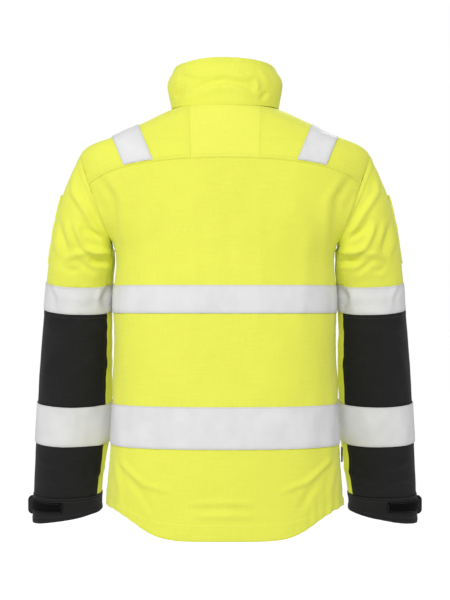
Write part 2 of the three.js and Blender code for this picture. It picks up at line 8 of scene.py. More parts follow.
import bmesh
import bpy
import numpy as np
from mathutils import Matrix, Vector


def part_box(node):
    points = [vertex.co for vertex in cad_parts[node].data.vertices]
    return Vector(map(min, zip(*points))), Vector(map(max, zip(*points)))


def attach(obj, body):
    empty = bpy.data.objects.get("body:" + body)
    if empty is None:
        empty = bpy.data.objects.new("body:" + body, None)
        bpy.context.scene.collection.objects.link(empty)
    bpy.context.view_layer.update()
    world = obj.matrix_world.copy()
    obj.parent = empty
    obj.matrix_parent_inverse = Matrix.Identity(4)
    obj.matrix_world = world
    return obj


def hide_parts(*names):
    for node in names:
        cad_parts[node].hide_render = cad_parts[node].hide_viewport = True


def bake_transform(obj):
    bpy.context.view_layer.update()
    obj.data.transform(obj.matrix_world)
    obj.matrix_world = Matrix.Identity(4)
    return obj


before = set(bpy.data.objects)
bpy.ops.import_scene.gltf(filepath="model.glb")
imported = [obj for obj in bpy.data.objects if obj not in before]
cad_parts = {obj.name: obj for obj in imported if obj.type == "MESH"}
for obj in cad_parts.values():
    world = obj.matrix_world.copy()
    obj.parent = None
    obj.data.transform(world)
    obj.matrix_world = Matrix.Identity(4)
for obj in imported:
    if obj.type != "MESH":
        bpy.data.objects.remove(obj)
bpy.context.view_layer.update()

METRE = 0.001
SIDES = (("left", 1), ("right", -1))

# ------------------------------------------------------------------ camera, light and floor
CAMERA_PLACE = (0, 2.93, -0.347)
CAMERA_LENS = 93.3
STUDIO_LIGHT = 0.56
WHITE = (1, 1, 1, 1)
# Each soft light: its name, place, width and power, in metres and watts.
LIGHTS = (("key", (0.7, 5.1, 2.3), 1.5, 128), ("fill", (3.4, 3.2, 0.4), 2.0, 24),
          ("front", (-0.8, -5.1, 2.3), 1.5, 132))
LIGHT_TARGET = Vector((0, 0, -0.35))
FLOOR_HEIGHT = -1.7
FLOOR_HALF = 60.0


def link(name, data):
    """A new object in the scene that shows the data."""
    made = bpy.data.objects.new(name, data)
    bpy.context.scene.collection.objects.link(made)
    return made


def make_camera():
    camera = bpy.data.cameras.new("camera")
    camera.lens = CAMERA_LENS
    holder = link("camera", camera)
    holder.location = CAMERA_PLACE
    holder.rotation_euler = (math.radians(90), 0, math.radians(180))
    bpy.context.scene.camera = holder


def make_world():
    """Even studio light, in front of a white backdrop that only the camera sees."""
    world = bpy.data.worlds.new("studio")
    world.use_nodes = True
    tree = world.node_tree
    light = tree.nodes["Background"]
    backdrop = tree.nodes.new("ShaderNodeBackground")
    for background, strength in ((light, STUDIO_LIGHT), (backdrop, 1.0)):
        background.inputs["Color"].default_value = WHITE
        background.inputs["Strength"].default_value = strength
    seen = tree.nodes.new("ShaderNodeLightPath")
    either = tree.nodes.new("ShaderNodeMixShader")
    tree.links.new(seen.outputs["Is Camera Ray"], either.inputs["Fac"])
    tree.links.new(light.outputs["Background"], either.inputs[1])
    tree.links.new(backdrop.outputs["Background"], either.inputs[2])
    tree.links.new(either.outputs["Shader"], tree.nodes["World Output"].inputs["Surface"])
    bpy.context.scene.world = world
    bpy.context.scene.view_settings.view_transform = "Standard"


def make_lights():
    for name, place, size, power in LIGHTS:
        lamp = bpy.data.lights.new(name, "AREA")
        lamp.size = size
        lamp.energy = power
        holder = link(name, lamp)
        holder.location = place
        holder.rotation_euler = (LIGHT_TARGET - Vector(place)).to_track_quat("-Z", "Y").to_euler()


def make_floor():
    mesh = bpy.data.meshes.new("floor")
    corners = [(x * FLOOR_HALF, y * FLOOR_HALF, FLOOR_HEIGHT) for x, y in ((-1, -1), (1, -1), (1, 1), (-1, 1))]
    mesh.from_pydata(corners, [], [(0, 1, 2, 3)])
    floor = link("floor", mesh)
    pale = bpy.data.materials.new("floor_pale")
    pale.use_nodes = True
    shader = pale.node_tree.nodes["Principled BSDF"]
    shader.inputs["Base Color"].default_value = (0.9, 0.9, 0.9, 1)
    shader.inputs["Roughness"].default_value = 0.9
    shader.inputs["Emission Color"].default_value = WHITE
    shader.inputs["Emission Strength"].default_value = 0.5
    mesh.materials.append(pale)
    floor.visible_diffuse = False


make_camera()
make_world()
make_lights()
make_floor()

# ------------------------------------------------------------------ the jacket's surfaces
# Each row is one ring: half width, y of the back, heights of back, side and front,
# how square its corners are, and the two powers by which its height falls from the side to the middle.
HEM_Y, LEAN, FRONT_LENGTH = -150.0, 0.08, 760.0
BODY = np.array([
    (222, 150, -780, -729, -760, 2.5, 5, 2.6),
    (219, 151, -692, -680, -686, 2.5, 1, 1),
    (213, 149, -600, -600, -600, 2.5, 1, 1),
    (208, 143, -450, -450, -450, 2.5, 1, 1),
    (207, 138, -350, -350, -350, 2.5, 1, 1),
    (206, 134, -256, -256, -256, 2.5, 1, 1),
    (243, 131, -178, -200, -190, 2.5, 1, 1),
    (266, 126, -90, -160, -128, 2.5, 1, 1),
    (272, 112, -50, -78, -105, 2.3, 1, 1),
    (209, 99, -20, -37, -92, 2.2, 1.3, 1),
    (100, 86, 10, 12, -75, 2.1, 2, 1),
], float)
HEM, UNDERARM, YOKE, SHOULDER, NECK = 0, 5, 7, 8, 10
COLLAR = np.array([
    (100, 86, 10, 12, -75, 2.1, 2, 1),
    (109, 80, 57, 57, -25, 2.1, 2, 1),
    (93, 70, 100, 90, 25, 2.2, 2, 1),
], float)
COLLAR_TOP = 2
# Sleeve rings: outer x and z, inner x and z, y of the middle, half of the depth.
SLEEVE = np.array([
    (307, -152, 208.5, -274, -4, 68),
    (328, -240, 211, -296, -13, 66),
    (338, -312, 213, -316, -22, 62),
    (343, -363, 215, -367, -30, 60),
    (352, -455, 216, -455, -44, 58),
    (359, -541, 218, -541, -58, 56),
    (364, -617, 224, -617, -70, 54),
    (370, -719, 238, -717, -86, 48),
    (373, -776, 239, -751, -94, 42),
], float)
TAPE_START, ELBOW, LOWER_TAPE, LOWER_TAPE_END, CUFF, CUFF_END = 3, 4, 6, 7, 8, 9
SLEEVE_SQUARE = 2.2
PITCH = math.radians(9)
UNDER_FROM, UNDER_TO = 150, 210


def squared(value, sharpness):
    return np.sign(value) * np.abs(value) ** (2 / sharpness)


def through(table, at, column=None):
    """Smooth curve through evenly spaced stations, the first axis of the table.

    With column given, each value of at reads its own column of the table.
    """
    last = len(table) - 1
    index = np.clip(np.floor(at), 0, last - 1).astype(int)
    f = at - index
    if column is None and table.ndim > 1:
        f = f[..., None]
    ends = np.concatenate([2 * table[:1] - table[1:2], table, 2 * table[-1:] - table[-2:-1]])

    def pick(i):
        return ends[i] if column is None else ends[i, column]

    a, b, c, d = (pick(index + step) for step in range(4))
    return b + 0.5 * f * ((c - a) + (2 * a - 5 * b + 4 * c - d) * f + (3 * b - a - 3 * c + d) * f * f)


def bisect(rising, low, high, passes=17):
    """Where a rising function passes zero, for whole arrays at once."""
    for _ in range(passes):
        middle = (low + high) / 2
        below = rising(middle) < 0
        low, high = np.where(below, middle, low), np.where(below, high, middle)
    return (low + high) / 2


def ring_point(stations, angle, at):
    angle, at = np.broadcast_arrays(np.asarray(angle, float), np.asarray(at, float))
    width, back, back_z, side_z, front_z, sharp, droop, settle = np.moveaxis(through(stations, at), -1, 0)
    sine, cosine = np.sin(np.radians(angle)), np.cos(np.radians(angle))
    front = HEM_Y + (front_z + FRONT_LENGTH) * LEAN
    end_z = np.where(sine >= 0, back_z, front_z)
    x = width * squared(cosine, sharp)
    y = (back + front) / 2 + (back - front) / 2 * squared(sine, sharp)
    z = side_z + (end_z - side_z) * (1 - (1 - np.abs(sine) ** droop) ** settle)
    return np.stack([x, y, z], -1)


def body_point(angle, at):
    return ring_point(BODY, angle, at)


def collar_point(angle, at):
    return ring_point(COLLAR, angle, at)


ARM_TOP = np.array([272.0, 0, -78])
ARM_BOTTOM = np.array([206.0, 0, -256])
ARM_MIDDLE = (ARM_TOP + ARM_BOTTOM) / 2
ARM_RISE = ARM_TOP - ARM_MIDDLE
ARM_NORMAL = np.array([ARM_RISE[2], 0, -ARM_RISE[0]]) / np.hypot(ARM_RISE[2], ARM_RISE[0])


def armhole_angle(at, side):
    """The angle at which a ring meets the armhole's plane, on the back (1) or the front (-1)."""
    at = np.asarray(at, float)

    def beyond(angle):
        return (body_point(side * angle, at) - ARM_MIDDLE) @ ARM_NORMAL

    found = side * bisect(lambda angle: -beyond(angle), np.zeros_like(at), np.full_like(at, 90.0))
    open_here = (at > UNDERARM) & (at < SHOULDER) & (beyond(np.zeros_like(at)) > 0)
    return np.where(open_here, found, 0.0)


def armhole_outline(side):
    at = np.linspace(SHOULDER, UNDERARM, 91)
    point = body_point(armhole_angle(at, side), at)
    height = (point - ARM_MIDDLE) @ ARM_RISE / (ARM_RISE @ ARM_RISE)
    order = np.argsort(height)
    return height[order], point[order, 1]


OUTLINES = {1: armhole_outline(1), -1: armhole_outline(-1)}


def sleeve_point(angle, at):
    angle, at = np.broadcast_arrays(np.asarray(angle, float), np.asarray(at, float))
    shape = angle.shape
    angle, at = angle.ravel(), np.maximum(at.ravel(), 0)
    cosine, sine = np.cos(np.radians(angle)), np.sin(np.radians(angle))
    y0 = np.where(sine >= 0, np.interp(cosine, *OUTLINES[1]), np.interp(cosine, *OUTLINES[-1]))
    first = ARM_MIDDLE + ARM_RISE * cosine[:, None]
    first[:, 1] = y0
    across = (squared(cosine, SLEEVE_SQUARE) + 1) / 2
    rings = [first]
    for outer_x, outer_z, inner_x, inner_z, middle, half in SLEEVE:
        depth = half * squared(sine, SLEEVE_SQUARE)
        rings.append(np.stack([inner_x + (outer_x - inner_x) * across,
                               middle + depth * math.cos(PITCH),
                               inner_z + (outer_z - inner_z) * across - depth * math.sin(PITCH)], -1))
    rings = np.stack(rings)
    point = np.arange(len(at))
    return np.stack([through(rings[:, :, k], at, point) for k in range(3)], -1).reshape(shape + (3,))


def with_normal(surface, turn):
    """A surface function that gives points and unit normals."""
    def place(angle, at):
        across = surface(angle + 0.5, at) - surface(angle - 0.5, at)
        along = surface(angle, at + 0.01) - surface(angle, at - 0.01)
        normal = np.cross(across, along) * turn
        normal /= np.maximum(np.linalg.norm(normal, axis=-1, keepdims=True), 1e-9)
        return surface(angle, at), normal
    return place


body = with_normal(body_point, 1)
collar = with_normal(collar_point, 1)
sleeve = with_normal(sleeve_point, -1)


def front_seam_x(z):
    low = (z + 115) / (-750 + 115)
    high = (z + 115) / (-44 + 115)
    return np.where(low > 0, 112 + low * (150 - 112), 112 + high * (80 - 112))


def front_seam_angle(at, shift=0.0):
    def past(angle):
        point = body_point(angle, at)
        return point[..., 0] - front_seam_x(point[..., 2]) - shift
    return bisect(past, np.full_like(at, -89.0), np.full_like(at, -1.0))


def front_angle(at, x, surface=body_point):
    return bisect(lambda angle: surface(angle, at)[..., 0] - x, np.full_like(at, -90.0), np.zeros_like(at))


def back_angle(at, x):
    return bisect(lambda angle: x - body_point(angle, at)[..., 0], np.zeros_like(at), np.full_like(at, 90.0))


def ring_at_height(angle, z):
    angle, z = np.broadcast_arrays(np.asarray(angle, float), np.asarray(z, float))
    return bisect(lambda at: body_point(angle, at)[..., 2] - z, np.zeros_like(z), np.full_like(z, 10.0))


def front_at(x, z):
    x, z = np.broadcast_arrays(np.asarray(x, float), np.asarray(z, float))
    at = ring_at_height(-90.0, z)
    for _ in range(4):
        angle = front_angle(at, x)
        at = ring_at_height(angle, z)
    return angle, at


# ------------------------------------------------------------------ folds in the cloth
def soft_noise(points, scale, seed):
    """Smooth noise from -1 to 1, of about one swell per scale."""
    chance = np.random.default_rng(seed)
    total = np.zeros(points.shape[:-1])
    waves = 9
    for _ in range(waves):
        direction = chance.normal(size=3)
        direction *= chance.uniform(0.6, 1.5) / np.linalg.norm(direction)
        total += np.sin(points @ direction * (2 * math.pi / scale) + chance.uniform(0, 2 * math.pi))
    return total / math.sqrt(waves * 2)


def crease(x, z, path, height, width):
    """A soft ridge along a path in x and z, with a hollow on each side of it."""
    best = np.full(x.shape, 1e9)
    place = np.zeros(x.shape)
    count = len(path) - 1
    for index in range(count):
        (x0, z0), (x1, z1) = path[index], path[index + 1]
        length = (x1 - x0) ** 2 + (z1 - z0) ** 2
        t = np.clip(((x - x0) * (x1 - x0) + (z - z0) * (z1 - z0)) / length, 0, 1)
        away = np.hypot(x - x0 - t * (x1 - x0), z - z0 - t * (z1 - z0))
        closer = away < best
        best = np.where(closer, away, best)
        place = np.where(closer, (index + t) / count, place)
    taper = np.sin(math.pi * np.clip(place, 0, 1)) ** 0.6
    r = best / width
    return height * taper * (1 - 0.9 * r * r) * np.exp(-r * r)


def on_both_sides(*creases):
    """Each crease and its mirror image."""
    return [(([(x * sign, z) for x, z in path]), height, width)
            for path, height, width in creases for sign in (1, -1)]


# Each crease is its path in x and z, its height and its width. A negative height is a hollow.
BACK_CREASES = (
    ([(192, -640), (186, -648), (150, -679), (100, -692)], 4.6, 6),
    ([(-193, -636), (-188, -644), (-147, -676), (-98, -692)], 4.6, 6),
    ([(66, -712), (0, -709), (-56, -712)], 2.6, 6),
    ([(70, -722), (4, -722), (-60, -722)], -1.4, 5),
    ([(62, -735), (0, -734), (-56, -735)], 2.4, 6),
    ([(205, -640), (192, -690), (196, -735)], 3.0, 8),
    ([(-206, -644), (-192, -694), (-198, -735)], 3.0, 8),
    *on_both_sides(
        ([(178, -668), (150, -698), (132, -730)], -2.6, 9),
        ([(214, -470), (196, -560), (190, -650)], 2.0, 12),
        ([(246, -150), (226, -190), (214, -240)], 4.0, 9),
        ([(236, -118), (206, -160), (200, -250)], -3.6, 11),
        ([(214, -120), (184, -170), (186, -270)], 2.4, 12),
    ),
    ([(120, -130), (150, -250), (128, -400)], 1.6, 18),
    ([(-110, -126), (-150, -230), (-136, -420)], 1.6, 18),
    ([(10, -110), (-12, -240), (6, -420)], -1.0, 14),
    ([(60, -120), (52, -300), (70, -500)], 0.9, 12),
    ([(-60, -130), (-66, -300), (-48, -480)], 0.9, 12),
)
FRONT_CREASES = (
    ([(196, -640), (150, -668), (90, -676)], 3.4, 8),
    ([(-196, -634), (-150, -662), (-84, -678)], 3.4, 8),
    ([(236, -140), (206, -200), (196, -270)], 3.6, 11),
    ([(-236, -140), (-206, -205), (-196, -276)], 3.6, 11),
    ([(84, -120), (60, -170), (20, -178)], 2.0, 12),
    ([(-84, -118), (-58, -124), (-18, -150)], 1.6, 11),
    ([(140, -330), (96, -352), (40, -348)], 2.0, 10),
    ([(-140, -326), (-96, -350), (-40, -352)], 2.0, 10),
)
HEM_PUCKER = 1.7
SHOULDER_EASE = 4.5
FLANK_EASE = 3.0


def body_folds(points):
    x, y, z = points[..., 0], points[..., 1], points[..., 2]
    total = 1.6 * soft_noise(points * (1.0, 1.0, 0.5), 140, 3) + 0.5 * soft_noise(points * (1, 1, 0.7), 48, 4)
    gathered = np.clip((-690 - z) / 40, 0, 1) * np.clip((np.abs(x) - 110) / 50, 0, 1)
    total += HEM_PUCKER * gathered * soft_noise(points * (1.0, 1.0, 0.2), 15, 5)
    back = np.clip(y / 30 + 0.5, 0, 1)
    for path, height, width in BACK_CREASES:
        total += back * crease(x, z, path, height, width)
    for path, height, width in FRONT_CREASES:
        total += (1 - back) * crease(x, z, path, height, width)
    slope = np.exp(-((np.abs(x) - 200) / 60) ** 2 - ((z + 35) / 48) ** 2)
    flank = np.clip((np.abs(x) - 196) / 8, 0, 1) * np.exp(-((z + 330) / 60) ** 2)
    return total - 0.8 - SHOULDER_EASE * slope + FLANK_EASE * flank


SLEEVE_CREASES = (
    ([(286, -100), (281, -148), (250, -196), (216, -250)], 4.5, 8),
    ([(270, -196), (246, -222), (216, -244)], -3.2, 7),
    ([(276, -204), (270, -226), (257, -256)], 5.0, 8),
    ([(266, -214), (246, -224), (224, -232)], -4.4, 7),
    ([(262, -252), (240, -258), (212, -258)], 9.5, 8),
    ([(252, -274), (232, -276), (212, -276)], -8.5, 8),
    ([(214, -318), (227, -341), (221, -368)], -5.0, 8),
    ([(233, -322), (240, -345), (237, -366)], 2.6, 6),
    ([(331, -318), (318, -342), (321, -366)], -2.4, 6),
    ([(322, -316), (309, -342), (311, -366)], 2.0, 6),
    ([(252, -262), (276, -262), (300, -274)], 4.4, 7),
    ([(276, -272), (262, -284), (240, -300)], -3.0, 8),
    ([(314, -190), (304, -226), (291, -262)], -4.4, 7),
    ([(326, -200), (318, -236), (306, -270)], 3.4, 8),
    ([(296, -196), (290, -226), (282, -248)], 2.6, 7),
    ([(300, -284), (286, -294), (268, -290)], -2.4, 7),
    ([(214, -330), (262, -346), (330, -336)], 1.4, 12),
    ([(217, -392), (262, -412), (344, -398)], 2.8, 13),
    ([(250, -372), (300, -392), (340, -384)], -2.0, 10),
    ([(217, -470), (250, -462), (300, -492)], 2.6, 13),
    ([(300, -420), (340, -470), (352, -520)], 2.4, 13),
    ([(262, -640), (300, -668), (364, -654)], 3.4, 8),
    ([(228, -668), (262, -688), (300, -694)], 3.0, 8),
    ([(300, -706), (336, -690), (366, -696)], 2.6, 7),
    ([(240, -640), (262, -664), (258, -706)], -2.4, 9),
)


SLEEVE_CREASE_DEPTH = 1.15
ARMPIT_EASE = 2.2
SLEEVE_OUTLINE = ((-541, -363, -240, -152, -78), (359, 343, 328, 307, 272))


def sleeve_folds(points):
    x, z = np.abs(points[..., 0]), points[..., 2]
    total = 1.8 * soft_noise(points * (1.0, 1.0, 0.8), 95, 7) + 0.7 * soft_noise(points, 38, 8)
    for path, height, width in SLEEVE_CREASES:
        total += SLEEVE_CREASE_DEPTH * crease(x, z, path, height, width)
    outer_edge = np.interp(z, *SLEEVE_OUTLINE)
    total *= np.clip((outer_edge - x) / 20, 0.2, 1)
    total += ARMPIT_EASE * np.clip((226 - x) / 8, 0, 1) * np.exp(-((z + 316) / 52) ** 2)
    armhole = x * ARM_NORMAL[0] + z * ARM_NORMAL[2] - ARM_MIDDLE @ ARM_NORMAL
    return total * np.clip(armhole / 16, 0, 1) + body_folds(points) * np.clip(1 - armhole / 16, 0, 1)


COLLAR_CREASES = (
    ([(70, 30), (40, 49), (0, 58), (-32, 51), (-62, 34)], -4.6, 7),
    ([(52, 28), (20, 40), (-20, 41), (-50, 26)], 2.4, 8),
    ([(80, 76), (46, 65), (4, 71)], 3.4, 7),
    ([(-18, 69), (-36, 62), (-54, 62)], 3.4, 7),
    ([(-56, 62), (-60, 46), (-56, 32)], 3.6, 6),
    ([(-78, 38), (-72, 29), (-64, 22)], -4.6, 6),
    ([(92, 26), (82, 36), (72, 48)], -3.6, 7),
    ([(86, 58), (80, 66), (66, 70)], -2.4, 7),
    ([(-84, 50), (-76, 62), (-64, 76)], 2.4, 7),
    ([(40, 84), (10, 82), (-40, 85)], -1.4, 7),
)


def collar_folds(points):
    x, y, z = points[..., 0], points[..., 1], points[..., 2]
    total = 0.9 * soft_noise(points, 60, 12)
    back = np.clip(y / 20, 0, 1)
    for path, height, width in COLLAR_CREASES:
        total += back * crease(x, z, path, height, width)
    return total * np.clip((z + 90) / 25, 0, 1)


def no_folds(points):
    return np.zeros(points.shape[:-1])


# ------------------------------------------------------------------ sewn edges
# For each kind of edge: where the grid has its lines, in from the edge, and which lines are stitched.
EDGE_LINES = {
    "plain": (0, 1.2, 3, 5.5),
    "under": (0, 0.8, 1.8, 3.2, 5.5),
    "lap": (0, 0.7, 1.8, 3.2, 5.2, 7.0, 8.2, 9.2, 11.0),
    "turned": (0, 0.7, 1.8, 3.0, 5.0),
    "tape": (0, 0.5, 1.8, 3.0),
    "hem": (0, 0.9, 2.4, 5, 9, 13, 17, 21, 24.5, 26, 27, 28, 29.5, 31.5, 35),
    "flush": (0, 1.0, 2.4, 4.5),
}
STITCH_LINES = {"plain": (), "under": (), "lap": (1.8, 7.0), "turned": (1.8,), "tape": (1.8,),
                "hem": (27,), "flush": ()}
ROLL = {"plain": 0.3, "under": 0.5, "lap": 0.5, "turned": 0.6, "tape": 0.4, "hem": 0.8, "flush": 0.1}
RAISED = {"lap": (0.6, 8.6), "turned": (0.3, 4.0), "hem": (1.1, 27.6)}
HEM_WIDTH = 31.0


def fade(distance, from_here, to_there):
    t = np.clip((distance - from_here) / (to_there - from_here), 0, 1)
    return 1 - t * t * (3 - 2 * t)


def edge_relief(kind, distance, pucker):
    """How far the cloth stands up or sinks at a distance from a sewn edge."""
    relief = -ROLL[kind] * np.exp(-(distance / (2.0 if kind == "under" else 0.8)) ** 2)
    if kind in RAISED:
        height, width = RAISED[kind]
        relief += height * fade(distance, width, width + 1.6)
        relief += pucker * np.exp(-(distance / (width + 5)) ** 2)
    elif kind == "under":
        relief += pucker * np.exp(-(distance / 9) ** 2)
    for line in STITCH_LINES[kind]:
        relief -= 0.38 * np.exp(-((distance - line) / 0.8) ** 2)
    return relief


def spacing(total, count, low, high):
    """Distances of the grid's lines across a strip: each edge's own lines and even steps between."""
    first, last = np.array(EDGE_LINES[low]), np.array(EDGE_LINES[high])
    shrink = min(1.0, 0.8 * total / (first[-1] + last[-1]))
    first, last = first * shrink, last * shrink
    middle = np.linspace(first[-1], total - last[-1], count + 2)[1:-1]
    return np.concatenate([first, middle, total - last[::-1]])


def run_of(points):
    """Length along the last line of points, from its start."""
    steps = np.linalg.norm(np.diff(points, axis=-2), axis=-1)
    start = np.zeros(steps.shape[:-1] + (1,))
    return np.concatenate([start, np.cumsum(steps, axis=-1)], axis=-1)


def lay_out(surface, heights, edges, kinds, step, ring):
    """A grid of angles and heights over a stretch of surface, spaced by length along the cloth."""
    low_kind, high_kind, start_kind, end_kind = kinds
    fine = np.linspace(*heights, 140)
    start, end = edges(fine)
    run = run_of(surface((start + end) / 2, fine))
    count = max(1, int(run[-1] / step))
    row_marks = spacing(run[-1], count, low_kind, high_kind)
    rows = np.interp(row_marks, run, fine)
    start, end = edges(rows)
    share = np.linspace(0, 1, 110)
    angle = start[:, None] + (end - start)[:, None] * share
    run = run_of(surface(angle, rows[:, None]))
    count = max(1, int(np.median(run[:, -1]) / step))
    angles, marks = [], []
    for index, total in enumerate(run[:, -1]):
        if ring:
            mark = np.linspace(0, total, count, endpoint=False)
        else:
            mark = spacing(total, count, start_kind, end_kind)
        angles.append(np.interp(mark, run[index], angle[index]))
        marks.append(mark)
    marks = np.array(marks)
    totals = run[:, -1:]
    shape = marks.shape
    return {"angle": np.array(angles), "at": np.broadcast_to(rows[:, None], shape),
            "across": marks, "from_end": totals - marks,
            "along": np.broadcast_to(row_marks[:, None], shape),
            "from_high": np.broadcast_to((row_marks[-1] - row_marks)[:, None], shape)}


def between(first, last):
    """Edges that lie at the same two angles on every ring."""
    return lambda at: (np.full_like(at, first), np.full_like(at, last))


# ------------------------------------------------------------------ meshes
def mesh_object(name, vertices, faces, materials, face_materials=None, uv=None, seam=None):
    """A smooth mesh from vertices in millimetres, with its own uv and closeness to a seam."""
    mesh = bpy.data.meshes.new(name)
    mesh.from_pydata((np.asarray(vertices) * METRE).tolist(), [], [tuple(face) for face in faces])
    for one in materials:
        mesh.materials.append(one)
    if face_materials is not None:
        mesh.polygons.foreach_set("material_index", np.asarray(face_materials, dtype=np.int32))
    mesh.polygons.foreach_set("use_smooth", np.ones(len(mesh.polygons), dtype=bool))
    corners = np.empty(len(mesh.loops), dtype=np.int32)
    mesh.loops.foreach_get("vertex_index", corners)
    if uv is not None:
        layer = mesh.uv_layers.new(name="cloth")
        layer.data.foreach_set("uv", (np.asarray(uv)[corners] * METRE).ravel().astype(np.float32))
    near = mesh.attributes.new("seam", "FLOAT", "POINT")
    values = np.zeros(len(vertices)) if seam is None else seam
    near.data.foreach_set("value", np.asarray(values, dtype=np.float32))
    mesh.update()
    return link(name, mesh)


STITCH_PITCH = 3.4
STITCH_LENGTH = 2.5
THREAD_RADIUS = 0.36


def stitches(points, normals):
    """Vertices and faces of a row of stitches that lie on the cloth along a line of points."""
    run = run_of(points)
    count = int(run[-1] // STITCH_PITCH)
    if count < 1:
        return np.zeros((0, 3)), []
    starts = STITCH_PITCH * (np.arange(count) + 0.15)

    def along(values, distance):
        return np.stack([np.interp(distance, run, values[:, k]) for k in range(3)], -1)

    first, last = along(points, starts), along(points, starts + STITCH_LENGTH)
    up = along(normals, starts + STITCH_LENGTH / 2)
    forward = (last - first) / np.maximum(np.linalg.norm(last - first, axis=1, keepdims=True), 1e-6)
    sideways = np.cross(forward, up)
    rings = [first - up * 0.1]
    for share in (0.22, 0.78):
        middle = first + (last - first) * share + up * 0.12
        rings += [middle + sideways * THREAD_RADIUS, middle + up * THREAD_RADIUS,
                  middle - sideways * THREAD_RADIUS, middle - up * THREAD_RADIUS]
    rings.append(last - up * 0.1)
    vertices = np.stack(rings, 1).reshape(-1, 3)
    faces = []
    for stitch in range(count):
        base = stitch * 10
        for k in range(4):
            a, b = base + 1 + k, base + 1 + (k + 1) % 4
            faces.append((base, b, a))
            faces.append((a, b, b + 4, a + 4))
            faces.append((base + 9, a + 4, b + 4))
    return vertices, faces


def grid_faces(rows, columns, ring, flip):
    """Faces of the outer layer, the inner layer and the rims of a sheet of cloth."""
    index = np.arange(rows * columns).reshape(rows, columns)
    right = np.roll(index, -1, axis=1) if ring else index[:, 1:]
    left = index if ring else index[:, :-1]
    outer = np.stack([left[:-1], right[:-1], right[1:], left[1:]], -1).reshape(-1, 4)
    inner = outer[:, ::-1] + rows * columns
    rims = []
    borders = [(left[0], right[0], 1), (left[-1], right[-1], -1)]
    if not ring:
        borders += [(index[:-1, 0], index[1:, 0], -1), (index[:-1, -1], index[1:, -1], 1)]
    for a, b, turn in borders:
        rim = np.stack([b, a, a + rows * columns, b + rows * columns], -1)
        rims.append(rim if turn > 0 else rim[:, ::-1])
    rims = np.concatenate(rims)
    parts = [outer, inner, rims]
    if flip:
        parts = [part[:, ::-1] for part in parts]
    return parts


def grid_relief(grid, points, kinds, ring, folds, crown, lift, wrinkle):
    """How far the cloth stands out over the grid, its rim's depth and its closeness to a seam."""
    distances = [grid["along"], grid["from_high"]] + ([] if ring else [grid["across"], grid["from_end"]])
    relief = folds(points)
    rim = np.zeros(points.shape[:2])
    nearest = np.full(points.shape[:2], 1e3)
    inside = np.ones(points.shape[:2])
    for kind, distance in zip(kinds, distances):
        relief = relief + edge_relief(kind, distance, wrinkle)
        rim = rim + 0.5 * ROLL[kind] * np.exp(-(distance / 0.8) ** 2)
        inside = np.minimum(inside, np.clip(distance / 16, 0, 1))
        if kind != "plain":
            nearest = np.minimum(nearest, distance)
    relief = relief + crown * np.sin(inside * math.pi / 2)
    if lift is not None:
        relief = relief + lift(grid, points)
    return relief, rim, np.exp(-nearest / 5).ravel()


def stitch_lines(outer, normals, kinds, ring):
    """The lines of points and normals that the stitches of each edge follow."""
    rows, columns = outer.shape[:2]
    lines = []
    for number, kind in enumerate(kinds[:2] if ring else kinds):
        for line in STITCH_LINES[kind]:
            index = EDGE_LINES[kind].index(line)
            if number % 2:
                index = -1 - index
            if number >= 2:
                pick = (slice(2, -2), index)
            elif ring:
                pick = (index, np.arange(columns + 1) % columns)
            else:
                pick = (index, slice(3, columns - 3))
            lines.append((outer[pick], normals[pick]))
    return lines


def cloth(name, place, heights, edges, kinds, look, side=1, folds=no_folds, step=5.0, offset=0.0,
          thickness=2.3, crown=0.0, ring=False, seed=1, lift=None, pucker=0.35):
    """A sheet of cloth with sewn edges, its folds, its lining side and its stitches.

    kinds names the low, high, first and last edges; lift adds to the offset over the grid.
    """
    grid = lay_out(lambda angle, at: place(angle, at)[0], heights, edges, kinds, step, ring)
    points, normals = place(grid["angle"], grid["at"])
    points = points * (side, 1, 1)
    normals = normals * (side, 1, 1)
    rows, columns = points.shape[:2]
    wrinkle = pucker * (soft_noise(points, 13, seed + 40) + 0.5 * soft_noise(points, 6.5, seed + 41))
    relief, rim, seam = grid_relief(grid, points, kinds, ring, folds, crown, lift, wrinkle)
    outer = points + normals * (offset + relief)[..., None]
    inner = outer - normals * np.maximum(thickness - rim, 0.25)[..., None]

    outwards = np.cross(outer[:-1, 1:] - outer[:-1, :-1], outer[1:, :-1] - outer[:-1, :-1])
    flip = (outwards * normals[:-1, :-1]).sum() < 0
    front, lining_side, rims = grid_faces(rows, columns, ring, flip)
    if "hem" in kinds[:2]:
        hem = (grid["along"] if kinds[0] == "hem" else grid["from_high"]).ravel()
        turned_up = hem[lining_side[:, 0] - rows * columns] < HEM_WIDTH
    else:
        turned_up = np.zeros(len(lining_side), bool)
    looks = [np.zeros(len(front)), np.where(turned_up, 0, 1), np.zeros(len(rims))]
    faces = np.concatenate([front, lining_side, rims]).tolist()

    vertices = [outer.reshape(-1, 3), inner.reshape(-1, 3)]
    base = 2 * rows * columns
    for line in stitch_lines(outer, normals, kinds, ring):
        thread, thread_faces = stitches(*line)
        vertices.append(thread)
        faces += [tuple(base + corner for corner in face) for face in thread_faces]
        looks.append(np.full(len(thread_faces), 2))
        base += len(thread)
    vertices = np.concatenate(vertices)
    spare = len(vertices) - 2 * rows * columns
    uv = np.stack([grid["across"], grid["along"]], -1).reshape(-1, 2)
    uv = np.concatenate([uv, uv, np.zeros((spare, 2))])
    seam = np.concatenate([seam, seam, np.zeros(spare)])
    return mesh_object(name, vertices, faces, LOOKS[look], np.concatenate(looks), uv, seam)


